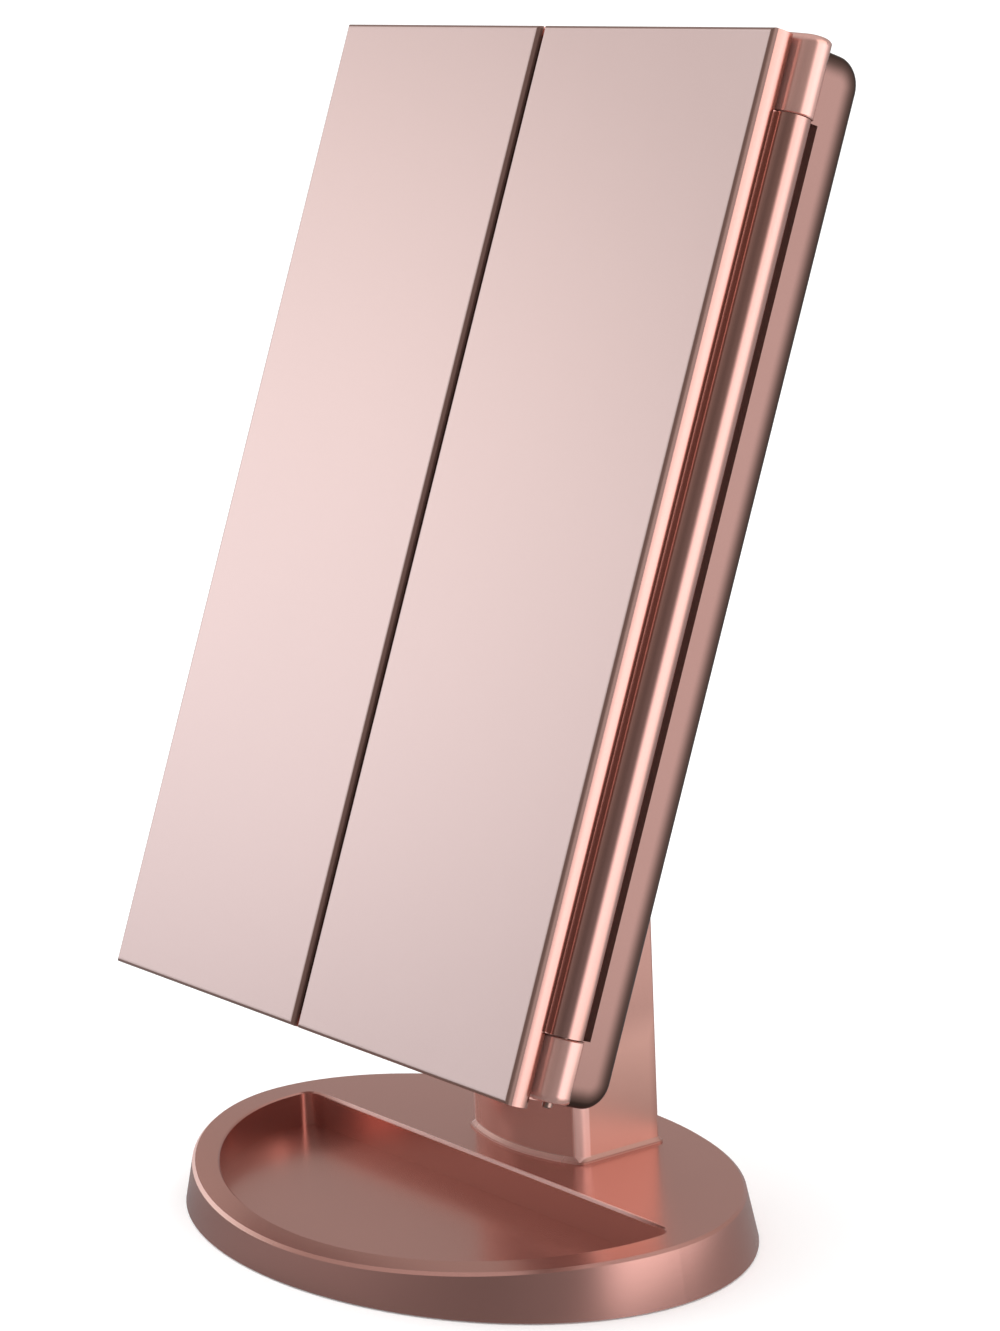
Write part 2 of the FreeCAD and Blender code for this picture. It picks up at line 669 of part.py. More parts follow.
def make_tilt_axle():
    """Hollow axle, so that wires can pass, with a head at its left end."""
    end = EAR_OUTER - CAP_T - AXLE_HEAD_T - 0.1
    axle = tube(AXLE_R, AXLE_BORE_R, on_pivot(-end), on_pivot(end))
    head = tube(AXLE_HEAD_R, AXLE_BORE_R, on_pivot(-end), on_pivot(-end - AXLE_HEAD_T))
    return fused(axle, head)


def hexagon(radius, x0, x1):
    corners = []
    for turn in range(6):
        angle = math.radians(60 * turn)
        corners.append((PIVOT_Y + radius * math.cos(angle), PIVOT_Z + radius * math.sin(angle)))
    return side_extrusion(corners, x0, x1)


def make_axle_nut():
    x0 = EAR_OUTER - NUT_SEAT + WASHER_DISH
    nut = hexagon(NUT_R, x0, x0 + NUT_T)
    return nut.cut(rod(AXLE_R, on_pivot(x0 - 1), on_pivot(x0 + NUT_T + 1)))


def make_spring_washer():
    """Dished washer pressed between the right ear and the nut."""
    x0 = EAR_OUTER - NUT_SEAT
    dish = Part.makeCone(NUT_R + 0.2, NUT_R - 1.2, WASHER_DISH, on_pivot(x0), X_AXIS)
    return dish.cut(rod(AXLE_R, on_pivot(x0 - 1), on_pivot(x0 + WASHER_DISH + 1)))


def make_friction_washers():
    washers = []
    for side in (-1, 1):
        start = side * STEM_BARREL_HALF
        end = start + side * WASHER_T
        washers.append(tube(EAR_R - 1.2, AXLE_R + RUNNING_GAP, on_pivot(start), on_pivot(end)))
    return washers


def make_hinge_caps():
    """Bevelled caps that close the ears over the axle's head and its nut."""
    caps = []
    for side in (-1, 1):
        cap = rod(CAP_R, on_pivot(side * (EAR_OUTER - CAP_T)), on_pivot(side * EAR_OUTER))
        rim = [e for e in cap.Edges if abs(e.CenterOfMass.x - side * EAR_OUTER) < 1e-3]
        caps.append(cap.makeChamfer(CAP_BEVEL, rim))
    return caps


def make_ear(x0, x1):
    """Ear of the head's hinge bracket: a round eye that flares down to the back of the shell."""
    cy = PIVOT_DEPTH
    low = tangent_point(PANEL_T, PIVOT_UP - EAR_FOOT, cy, PIVOT_UP, EAR_R, 1)
    high = tangent_point(PANEL_T, PIVOT_UP + EAR_FOOT, cy, PIVOT_UP, EAR_R, -1)
    inside = PANEL_T - SHELL_WALL / 2
    foot_low = PIVOT_UP - EAR_FOOT
    foot_high = PIVOT_UP + EAR_FOOT
    flare = side_extrusion([(inside, foot_low), (PANEL_T, foot_low), low, (cy, PIVOT_UP), high,
                            (PANEL_T, foot_high), (inside, foot_high)], x0, x1)
    return flare.fuse(rod(EAR_R, V(x0, cy, PIVOT_UP), V(x1, cy, PIVOT_UP)))


# ---- centre frame of the head -------------------------------------------------------------------
def rounded_block(half_w, y0, y1, z0, z1, corner):
    """Block whose back top and back bottom edges are rounded, seen from the side."""
    solid = block(-half_w, half_w, y0, y1, z0, z1)
    return solid.makeFillet(corner, edges_along(solid, X_AXIS, lambda c: c.y > y1 - 0.1))


def hinge_axis(side, z):
    return V(side * HALF_W, AXIS_DEPTH, z)


def make_knuckle(side, outer_z, joint_z):
    """Fixed hinge knuckle, domed at its outer end, that stays clear of the wing as it swings."""
    z0, z1 = sorted((outer_z, joint_z))
    centre_y = AXIS_DEPTH + KNUCKLE_BACK
    barrel = rod(BARREL_R, V(HALF_W, centre_y, z0), V(HALF_W, centre_y, z1))
    root_x = HALF_W - BARREL_R + 1
    touch = tangent_point(root_x, FRAME_FRONT, HALF_W, centre_y, BARREL_R, 1)
    root = plan_extrusion([(root_x - 2, FRAME_FRONT), (root_x, FRAME_FRONT), touch, (HALF_W, centre_y),
                           (HALF_W, centre_y + BARREL_R), (root_x - 2, centre_y + BARREL_R)], z0, z1)
    knuckle = barrel.fuse(root).removeSplitter()
    rims = [e for e in knuckle.Edges if e.BoundBox.ZLength < 1e-3 and isinstance(e.Curve, Part.Circle)]
    knuckle = knuckle.makeFillet(KNUCKLE_DOME, [e for e in rims if abs(e.BoundBox.ZMin - outer_z) < 0.1])
    rims = [e for e in knuckle.Edges if e.BoundBox.ZLength < 1e-3 and isinstance(e.Curve, Part.Circle)]
    knuckle = knuckle.makeChamfer(KNUCKLE_EASE, [e for e in rims if abs(e.BoundBox.ZMin - joint_z) < 0.1])
    reach = rod(KNUCKLE_REACH, V(HALF_W, AXIS_DEPTH, z0), V(HALF_W, AXIS_DEPTH, z1))
    reach = reach.fuse(block(root_x - 5, FRAME_HALF_W, 0, PANEL_T, z0, z1))
    knuckle = knuckle.common(reach)
    return knuckle if side > 0 else mirrored(knuckle)


def side_edges(shell):
    """Edges between the shell's flat sides and its back, round the two curved ends too."""
    found = []
    for edge in shell.Edges:
        centre = edge.CenterOfMass
        box = edge.BoundBox
        on_side = box.XLength < 1e-3 and abs(abs(centre.x) - FRAME_HALF_W) < 0.1
        if on_side and centre.y > FRAME_FRONT + 0.1 and box.YMax > PANEL_T - END_FILLET + 0.01:
            found.append(edge)
    return found


def cut_for_hinges(shell):
    """Shell with its sides hollowed for the wings' barrels, and the fixed knuckles added."""
    for side in (-1, 1):
        x0, x1 = sorted((side * (HALF_W - BARREL_R), side * HALF_W))
        shell = shell.cut(block(x0, x1, 0, AXIS_DEPTH + KNUCKLE_BACK, 0, PANEL_H))
        for outer_z, joint_z in ((KNUCKLE_BOTTOM, KNUCKLE_LOW), (KNUCKLE_TOP, KNUCKLE_HIGH)):
            shell = shell.fuse(make_knuckle(side, outer_z, joint_z))
        shift = V(side * COVE_SHIFT, COVE_SHIFT, 0)
        cove = rod(COVE_R, hinge_axis(side, KNUCKLE_LOW) + shift, hinge_axis(side, KNUCKLE_HIGH) + shift)
        shell = shell.cut(cove)
    return shell.removeSplitter()


def drill_pin_bores(shell):
    for side in (-1, 1):
        for outer_z, joint_z in ((KNUCKLE_BOTTOM, KNUCKLE_LOW), (KNUCKLE_TOP, KNUCKLE_HIGH)):
            over = math.copysign(1, joint_z - outer_z)
            shell = shell.cut(rod(PIN_R, hinge_axis(side, outer_z - over), hinge_axis(side, joint_z + over)))
    return shell


def make_back_shell():
    shell = rounded_block(FRAME_HALF_W, FRAME_FRONT, PANEL_T, FRAME_LOW, FRAME_HIGH, END_FILLET)
    shell = shell.makeFillet(SIDE_FILLET, side_edges(shell))
    shell = cut_for_hinges(shell)

    low = FRAME_LOW + SHELL_RIM
    high = FRAME_HIGH - SHELL_RIM
    cavity = rounded_block(CAVITY_HALF_W, FRAME_FRONT - 1, SHELL_FLOOR, low, high, END_FILLET - SHELL_WALL)
    pocket_front = AXIS_DEPTH + COVE_SHIFT + COVE_R + SHELL_WALL
    pocket_half = FRAME_HALF_W - SHELL_WALL
    cavity = cavity.fuse(block(-pocket_half, pocket_half, pocket_front, SHELL_FLOOR - 2, low + 2, high - 2))
    shell = shell.cut(cavity)
    shell = shell.cut(block(-BEZEL_HALF_W - 0.1, BEZEL_HALF_W + 0.1, FRAME_FRONT - 1, LIP_BACK,
                            BEZEL_LOW - 0.1, BEZEL_HIGH + 0.1))

    cy = PIVOT_DEPTH
    for side, sink in ((-1, CAP_T + AXLE_HEAD_T + 0.1), (1, NUT_SEAT)):
        shell = shell.fuse(make_ear(*sorted((side * EAR_INNER, side * EAR_OUTER))))
        shell = shell.cut(rod(CAP_R, V(side * (EAR_OUTER - sink), cy, PIVOT_UP), V(side * FAR, cy, PIVOT_UP)))
    shell = shell.cut(rod(AXLE_R, V(-FAR, cy, PIVOT_UP), V(FAR, cy, PIVOT_UP)))
    shell = shell.cut(rod(AXLE_R, V(0, SHELL_FLOOR - 2, PIVOT_UP), V(0, PANEL_T + 2, PIVOT_UP)))

    for z in LIGHT_RIBS:
        for side in (-1, 1):
            x0, x1 = sorted((side * (BOX_INNER + 1), side * (BOX_OUTER - 1.4)))
            shell = shell.fuse(block(x0, x1, LIGHT_BOX_BACK, SHELL_FLOOR + 0.5, z - 1, z + 1))
    for x, z in BOARD_BOSSES:
        shell = shell.fuse(block(x - 2, x + 2, BOARD_BACK, SHELL_FLOOR + 0.5, z - 2, z + 2))
    for x, z in SHELL_SCREWS:
        shell = shell.cut(rod(SHELL_SINK_R, V(x, PANEL_T - SHELL_SINK, z), V(x, PANEL_T + 2, z)))
        shell = shell.cut(rod(SHELL_HOLE_R, V(x, SHELL_FLOOR - 2, z), V(x, PANEL_T + 2, z)))
    return drill_pin_bores(shell).removeSplitter()


def make_front_bezel():
    lip = block(-BEZEL_HALF_W, BEZEL_HALF_W, FRAME_FRONT, LIP_BACK, BEZEL_LOW, BEZEL_HIGH)
    skirt = block(-CAVITY_HALF_W + 0.1, CAVITY_HALF_W - 0.1, LIP_BACK, GLASS_BACK,
                  FRAME_LOW + SHELL_RIM + 0.1, FRAME_HIGH - SHELL_RIM - 0.1)
    window = block(-BEZEL_HALF_W + BEZEL_LIP_W, BEZEL_HALF_W - BEZEL_LIP_W, 0, LIP_BACK,
                   BEZEL_LOW + BEZEL_LIP_W, BEZEL_HIGH - BEZEL_LIP_W)
    seat = block(-GLASS_HALF_W, GLASS_HALF_W, LIP_BACK, GLASS_BACK + 1, GLASS_LOW, GLASS_HIGH)
    return lip.fuse(skirt).cut(window).cut(seat).removeSplitter()


def make_centre_mirror():
    return block(-CENTRE_GLASS_HALF_W, CENTRE_GLASS_HALF_W, LIP_BACK, GLASS_BACK, GLASS_LOW, GLASS_HIGH)


def make_light_strip(side):
    x0, x1 = sorted((side * STRIP_INNER, side * GLASS_HALF_W))
    return block(x0, x1, LIP_BACK, GLASS_BACK, GLASS_LOW, GLASS_HIGH)


def make_mirror_backing():
    """Tray behind the centre glass, with the posts that the shell screws bite into."""
    backing = block(-STRIP_INNER, STRIP_INNER, GLASS_BACK, BACKING_BACK, GLASS_LOW, GLASS_HIGH)
    for x, z in SHELL_SCREWS:
        backing = backing.fuse(rod(POST_R, V(x, BACKING_BACK, z), V(x, SHELL_FLOOR, z)))
    backing = backing.cut(rod(TOUCH_R + 0.8, V(0, 0, TOUCH_Z), V(0, PANEL_T, TOUCH_Z)))
    for x, z in SHELL_SCREWS:
        backing = backing.cut(rod(SHELL_SCREW_R, V(x, BACKING_BACK + 1, z), V(x, PANEL_T, z)))
    return backing.removeSplitter()


def make_light_box(side):
    """White channel behind a light strip; its floor carries the LED board."""
    box = block(BOX_INNER, BOX_OUTER, GLASS_BACK, LIGHT_BOX_BACK, BOX_LOW, BOX_HIGH)
    box = box.cut(block(BOX_INNER + BOX_WALL, BOX_OUTER - BOX_WALL, GLASS_BACK - 1, LED_BOARD_BACK,
                        BOX_LOW + BOX_WALL, BOX_HIGH - BOX_WALL))
    return box if side > 0 else mirrored(box)


def make_led_board(side):
    board = block(LED_X - LED_BOARD_HALF_W, LED_X + LED_BOARD_HALF_W,
                  LED_BOARD_BACK - BOARD_T, LED_BOARD_BACK, LED_BOARD_LOW, LED_BOARD_HIGH)
    return board if side > 0 else mirrored(board)


def make_leds(side):
    """Surface-mounted lamps, each with a shallow cup for its phosphor."""
    leds = []
    pitch = (LED_BOARD_HIGH - LED_BOARD_LOW) / LED_COUNT
    front = LED_BOARD_BACK - BOARD_T - LED_T
    for place in range(LED_COUNT):
        z = LED_BOARD_LOW + pitch * (place + 0.5)
        led = block(LED_X - LED_W / 2, LED_X + LED_W / 2, front, front + LED_T, z - LED_L / 2, z + LED_L / 2)
        cup = block(LED_X - LED_W / 3, LED_X + LED_W / 3, front - 1, front + LED_CUP,
                    z - LED_L / 3, z + LED_L / 3)
        led = led.cut(cup)
        leds.append(led if side > 0 else mirrored(led))
    return leds


def make_touch_sensor():
    """Copper disc behind the glass, held forward by a spring tube on the control board."""
    seat = V(0, GLASS_BACK + 0.5, TOUCH_Z)
    disc = rod(TOUCH_R, V(0, GLASS_BACK, TOUCH_Z), seat)
    spring = tube(TOUCH_SPRING_R, TOUCH_SPRING_R - 0.8, seat, V(0, BOARD_FRONT, TOUCH_Z))
    return fused(disc, spring)


def make_control_board():
    return block(-24, 24, BOARD_FRONT, BOARD_BACK, 10, 52)


def make_board_parts():
    """Driver chip, touch chip, storage capacitor and wire header on the back of the control board."""
    back = BOARD_BACK
    driver = block(-12, -4, back, back + 1.6, 34, 40)
    touch_chip = block(5, 10, back, back + 1.4, 20, 26)
    capacitor = rod(2.6, V(13, back, 40), V(13, back + 4.6, 40))
    header = block(-5, 5, back, back + 3.6, 44, 49)
    return [driver, touch_chip, capacitor, header]


def make_shell_screws():
    screws = []
    for x, z in SHELL_SCREWS:
        tip = V(x, BACKING_BACK + 2, z)
        seat = V(x, PANEL_T - SHELL_SINK, z)
        screws.append(pan_screw(tip, seat, SHELL_SCREW_R, SHELL_SCREW_HEAD_R, SHELL_SCREW_HEAD_T))
    return screws


def make_hinge_pins():
    """Pins pressed into the knuckles: flush at the top, standing a little proud below."""
    pins = []
    for side in (-1, 1):
        for outer, tip in ((KNUCKLE_BOTTOM - PIN_PROUD, KNUCKLE_LOW + PIN_GRIP),
                           (KNUCKLE_TOP - 0.1, KNUCKLE_HIGH - PIN_GRIP)):
            pin = rod(PIN_R, hinge_axis(side, outer), hinge_axis(side, tip))
            middle = hinge_axis(side, outer)
            outer_end = [e for e in pin.Edges if e.CenterOfMass.distanceToPoint(middle) < 1e-3]
            pins.append(pin.makeChamfer(PIN_EASE, outer_end))
    return pins


# ---- wings, drawn as the right wing and mirrored for the left one --------------------------------
def make_outer_plate(inner):
    """Decorative plate, its front edges rounded over."""
    plate = block(inner, HALF_W - WING_BULGE, 0, PLATE_T, 0, PANEL_H)
    return plate.makeFillet(PLATE_EDGE_R, [e for e in plate.Edges if e.BoundBox.YMax < 1e-3])


def make_wing_frame(inner, mirror_heights):
    """Tray that holds the wing's mirrors, its round outer side and the hinge barrel."""
    flank = HALF_W - WING_BULGE
    mid = (PLATE_T + WING_T) / 2
    bow = Part.Arc(V(flank, PLATE_T, 0), V(HALF_W, mid, 0), V(flank, WING_T, 0)).toShape()
    sides = Part.makePolygon([V(flank, WING_T, 0), V(inner, WING_T, 0), V(inner, PLATE_T, 0),
                              V(flank, PLATE_T, 0)])
    frame = Part.Face(Part.Wire([bow] + sides.Edges)).extrude(V(0, 0, PANEL_H))
    meeting = edges_along(frame, Z_AXIS, lambda c: c.x < inner + 0.1 and c.y > WING_T - 0.1)
    frame = frame.makeFillet(MEETING_R, meeting)

    for z0, z1 in mirror_heights:
        floor = WING_T - GLASS_RECESS - GLASS_T - FOAM_T
        frame = frame.cut(block(inner + WING_RIM, MIRROR_OUTER, floor, WING_T + 1, z0, z1))

    low = KNUCKLE_LOW + KNUCKLE_GAP
    high = KNUCKLE_HIGH - KNUCKLE_GAP
    barrel = rod(BARREL_R, hinge_axis(1, low), hinge_axis(1, high))
    neck_in = HALF_W - BARREL_R + 0.6
    neck = plan_extrusion([(neck_in, WING_T - 1), (HALF_W - 0.4, WING_T - 1), (HALF_W - 0.4, AXIS_DEPTH),
                           (neck_in, AXIS_DEPTH - 1.6)], low, high)
    frame = frame.fuse([neck, barrel])
    for end, way in ((low, 1), (high, -1)):
        seat = end + way * BUSH_FLANGE_T
        frame = frame.cut(rod(BUSH_FLANGE_R, hinge_axis(1, end - way), hinge_axis(1, seat)))
        frame = frame.cut(rod(BUSH_R, hinge_axis(1, seat), hinge_axis(1, seat + way * BUSH_L)))
        clearance = rod(PIN_R + 0.4, hinge_axis(1, seat), hinge_axis(1, seat + way * (BUSH_L + 3)))
        frame = frame.cut(clearance)
    return frame.removeSplitter()


def make_wing_glass(inner, z0, z1):
    """Mirror pane, its edges ground to a small bevel, and the foam tape behind it."""
    clearance = 0.2
    front = WING_T - GLASS_RECESS - GLASS_T
    x0 = inner + WING_RIM + clearance
    x1 = MIRROR_OUTER - clearance
    glass = block(x0, x1, front, front + GLASS_T, z0 + clearance, z1 - clearance)
    seen = front + GLASS_T - 0.1
    visible = [e for e in glass.Edges if e.BoundBox.YLength < 1e-3 and e.CenterOfMass.y > seen]
    glass = glass.makeChamfer(GLASS_BEVEL, visible)
    foam = block(x0 + 3, x1 - 3, front - FOAM_T, front, z0 + 4, z1 - 4)
    return glass, foam


def make_bushings():
    """Flanged bushings sunk in both ends of a wing's barrel."""
    bushings = []
    for end, way in ((KNUCKLE_LOW + KNUCKLE_GAP, 1), (KNUCKLE_HIGH - KNUCKLE_GAP, -1)):
        seat = end + way * BUSH_FLANGE_T
        flange = rod(BUSH_FLANGE_R, hinge_axis(1, end), hinge_axis(1, seat))
        sleeve = rod(BUSH_R, hinge_axis(1, seat), hinge_axis(1, seat + way * BUSH_L))
        bore = rod(PIN_R + RUNNING_GAP, hinge_axis(1, end - way), hinge_axis(1, end + way * 20))
        bushings.append(flange.fuse(sleeve).cut(bore).removeSplitter())
    return bushings


def save_wing(name, flip, inner, panes):
    """One wing: decorative plate, frame with barrel, mirror panes with their tape, bushings."""
    def hand(shapes):
        shapes = shapes if isinstance(shapes, list) else [shapes]
        return [mirrored(s) for s in shapes] if flip else shapes

    save(name + "_outer_plate", hand(make_outer_plate(inner)), HEAD)
    save(name + "_frame", hand(make_wing_frame(inner, [(z0, z1) for _, z0, z1 in panes])), HEAD)
    tapes = []
    for pane, z0, z1 in panes:
        glass, foam = make_wing_glass(inner, z0, z1)
        save(pane, hand(glass), HEAD)
        tapes.append(foam)
    save(name + "_foam_tape", hand(tapes), HEAD)
    save(name + "_bushings", hand(make_bushings()), HEAD)


# ---- build --------------------------------------------------------------------------------------
os.makedirs("parts", exist_ok=True)

save("base_tray", make_base_tray())
save("bottom_cover", make_bottom_cover())
save("rubber_feet", make_rubber_feet())
save("weight_plate", make_weight_plate())
save("cover_screws", make_cover_screws())
save("stem_screws", make_stem_screws())

save("stem_shell", make_stem_shell())
battery_holder, CELL_Y = make_battery_holder()
save("battery_holder", battery_holder)
save("batteries", make_batteries(CELL_Y))
save("battery_contacts", make_battery_contacts(CELL_Y))
save("battery_door", make_battery_door())
save("power_board", make_power_board())
save("usb_socket", make_usb_socket())
save("switch_body", make_switch_body())
save("switch_knob", make_switch_knob())

save("tilt_axle", make_tilt_axle())
save("axle_nut", make_axle_nut())
save("spring_washer", make_spring_washer())
save("friction_washers", make_friction_washers())
save("hinge_caps", make_hinge_caps())

save("back_shell", make_back_shell(), HEAD)
save("front_bezel", make_front_bezel(), HEAD)
save("centre_mirror", make_centre_mirror(), HEAD)
save("mirror_backing", make_mirror_backing(), HEAD)
for SIDE, SIDE_NAME in ((-1, "left"), (1, "right")):
    save(SIDE_NAME + "_light_strip", make_light_strip(SIDE), HEAD)
    save(SIDE_NAME + "_light_box", make_light_box(SIDE), HEAD)
    save(SIDE_NAME + "_led_board", make_led_board(SIDE), HEAD)
    save(SIDE_NAME + "_leds", make_leds(SIDE), HEAD)
save("touch_sensor", make_touch_sensor(), HEAD)
save("control_board", make_control_board(), HEAD)
save("board_parts", make_board_parts(), HEAD)
save("shell_screws", make_shell_screws(), HEAD)
save("hinge_pins", make_hinge_pins(), HEAD)

MIRROR_LOW = WING_RIM
MIRROR_HIGH = PANEL_H - WING_RIM
HALF_BAR = WING_RIM / 2
save_wing("left_wing", True, LEFT_INNER, [("magnifier_triple", MIRROR_LOW, MAGNIFIER_SPLIT - HALF_BAR),
                                          ("magnifier_double", MAGNIFIER_SPLIT + HALF_BAR, MIRROR_HIGH)])
save_wing("right_wing", False, RIGHT_INNER, [("right_wing_mirror", MIRROR_LOW, MIRROR_HIGH)])
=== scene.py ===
"""Trifold vanity mirror: a finish for every part, small modelled details, and a studio with its camera.

The scene is in metres, in the stand's frame: origin at the middle of the base on the floor, +X to the viewer's
right, +Y to the back and +Z up. The mirror head has a frame of its own, which leans back: the matrix HEAD leads
from it to the stand's frame. Places on the parts are given in millimetres.
"""
import json
import math
from collections import namedtuple

import bpy
from mathutils import Matrix, Vector


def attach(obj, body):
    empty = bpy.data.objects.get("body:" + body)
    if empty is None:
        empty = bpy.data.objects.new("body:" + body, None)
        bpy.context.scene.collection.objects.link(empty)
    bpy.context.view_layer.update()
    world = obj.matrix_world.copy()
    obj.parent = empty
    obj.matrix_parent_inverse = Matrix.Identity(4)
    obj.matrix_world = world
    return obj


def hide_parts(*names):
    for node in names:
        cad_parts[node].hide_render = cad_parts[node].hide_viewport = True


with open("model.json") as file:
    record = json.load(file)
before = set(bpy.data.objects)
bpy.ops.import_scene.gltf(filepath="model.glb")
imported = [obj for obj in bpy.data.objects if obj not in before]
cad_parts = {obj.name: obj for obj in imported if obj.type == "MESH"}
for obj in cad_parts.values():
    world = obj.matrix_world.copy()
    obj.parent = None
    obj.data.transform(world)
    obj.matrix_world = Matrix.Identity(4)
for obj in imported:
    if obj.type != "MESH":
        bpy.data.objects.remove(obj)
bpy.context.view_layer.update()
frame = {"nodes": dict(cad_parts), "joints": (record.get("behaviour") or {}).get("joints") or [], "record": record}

MM = 0.001
LEAN = math.radians(20.6)

# The mirror head, in millimetres: the wing hinges' axes, the shell's outline from the side, and the glass.
HINGE_ACROSS = 85.0
HINGE_DEPTH = 11.4
HINGE_MID = 126.5
KNUCKLE_R = 5.3
HEAD_BACK = 29.8
HEAD_MIDDLE = 127.3
HEAD_HALF_HEIGHT = 125.5
HEAD_CORNER_R = 7.0
HEAD_SIDE = 84.4
GLASS_DEPTH = 7.9
# The base, in millimetres: half length and half depth of its top outline.
BASE_TOP = (85.4, 60.1)

# ---- camera and picture ---------------------------------------------------------------------------
PICTURE_W = 1000
PICTURE_H = 1331
AZIMUTH = math.radians(54.10)
ELEVATION = math.radians(12.63)
ROLL = math.radians(-2.64)
DISTANCE = 0.9626
FOCAL_PIXELS = 3873.9
CENTRE_X = 443.8
CENTRE_Y = 740.3
LOOK_AT = Vector((0, 0, 0.12415))
SENSOR = 36.0
NEAR_CLIP = 0.05
FAR_CLIP = 60.0


# ---- places ---------------------------------------------------------------------------------------
def joint(name):
    """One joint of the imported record, by name."""
    return next(j for j in frame["joints"] if j["name"] == name)


def in_mm(x, y, z):
    """A shift given in millimetres."""
    return Matrix.Translation((x * MM, y * MM, z * MM))


def head_matrix():
    """From the head's frame to the stand's, worked out from the right wing's hinge."""
    lean = Matrix.Rotation(-LEAN, 4, "X")
    pin = Matrix.Translation(joint("right_wing_fold")["pos_m"])
    return pin @ lean @ in_mm(-HINGE_ACROSS, -HINGE_DEPTH, -HINGE_MID)


HEAD = head_matrix()


# ---- shader building blocks -----------------------------------------------------------------------
def new_group(name, inputs, outputs):
    """An empty node group with named sockets; returns it with its input and output nodes."""
    group = bpy.data.node_groups.new(name, "ShaderNodeTree")
    for title, kind, value in inputs:
        socket = group.interface.new_socket(title, in_out="INPUT", socket_type=kind)
        socket.default_value = value
    for title, kind in outputs:
        group.interface.new_socket(title, in_out="OUTPUT", socket_type=kind)
    return group, group.nodes.new("NodeGroupInput"), group.nodes.new("NodeGroupOutput")


def add(tree, kind, values=None, **settings):
    """One node with its settings and the values of its input sockets."""
    made = tree.nodes.new("ShaderNode" + kind)
    for key, value in settings.items():
        setattr(made, key, value)
    for key, value in (values or {}).items():
        made.inputs[key].default_value = value
    return made


def wire(tree, *pairs):
    """Joins sockets: each pair is an output socket and an input socket."""
    for source, target in pairs:
        tree.links.new(source, target)


def add_group(tree, group, values=None):
    """One node that holds a shared group, with the values of its input sockets."""
    made = tree.nodes.new("ShaderNodeGroup")
    made.node_tree = group
    for key, value in (values or {}).items():
        made.inputs[key].default_value = value
    return made


def ramp(tree, start, end, smooth=True):
    """0 up to start and 1 from end on; start may be the larger of the two."""
    kind = "SMOOTHSTEP" if smooth else "LINEAR"
    return add(tree, "MapRange", {"From Min": start, "From Max": end}, interpolation_type=kind)


COLOUR = "NodeSocketColor"
NUMBER = "NodeSocketFloat"
VECTOR = "NodeSocketVector"


def build_pearl_pigment():
    """Metallic pigment in a lacquer: tiny bright flakes, a slow drift of tone, and a faint orange-peel skin."""
    group, given, out = new_group("pearl_pigment", [
        ("Deep", COLOUR, (0.4, 0.2, 0.15, 1)), ("Light", COLOUR, (0.6, 0.3, 0.25, 1)),
        ("Roughness", NUMBER, 0.3), ("Flake Size", NUMBER, 5200.0), ("Flake Strength", NUMBER, 0.5),
        ("Peel", NUMBER, 0.02),
    ], [("Colour", COLOUR), ("Roughness", NUMBER), ("Normal", VECTOR)])
    place = add(group, "TexCoord")
    flakes = add(group, "TexVoronoi", feature="F1")
    drift = add(group, "TexNoise", {"Scale": 14.0, "Detail": 3.0, "Roughness": 0.55})
    sparkle = add(group, "Math", operation="MULTIPLY")
    blend = add(group, "Math", {1: 0.5}, operation="MULTIPLY_ADD")
    tone = add(group, "Mix", data_type="RGBA")
    rough_span = add(group, "MapRange", {"To Min": -0.035, "To Max": 0.035})
    rough = add(group, "Math", operation="ADD")
    skin = add(group, "TexNoise", {"Scale": 900.0, "Detail": 1.5})
    bump = add(group, "Bump", {"Distance": 0.0002})
    wire(group,
         (place.outputs["Object"], flakes.inputs["Vector"]),
         (given.outputs["Flake Size"], flakes.inputs["Scale"]),
         (place.outputs["Object"], drift.inputs["Vector"]), (place.outputs["Object"], skin.inputs["Vector"]),
         (flakes.outputs["Color"], sparkle.inputs[0]), (given.outputs["Flake Strength"], sparkle.inputs[1]),
         (drift.outputs["Fac"], blend.inputs[0]), (sparkle.outputs[0], blend.inputs[2]),
         (blend.outputs[0], tone.inputs["Factor"]), (given.outputs["Deep"], tone.inputs["A"]),
         (given.outputs["Light"], tone.inputs["B"]), (tone.outputs["Result"], out.inputs["Colour"]),
         (drift.outputs["Fac"], rough_span.inputs["Value"]), (rough_span.outputs[0], rough.inputs[0]),
         (given.outputs["Roughness"], rough.inputs[1]), (rough.outputs[0], out.inputs["Roughness"]),
         (skin.outputs["Fac"], bump.inputs["Height"]), (given.outputs["Peel"], bump.inputs["Strength"]),
         (bump.outputs["Normal"], out.inputs["Normal"]))
    return group


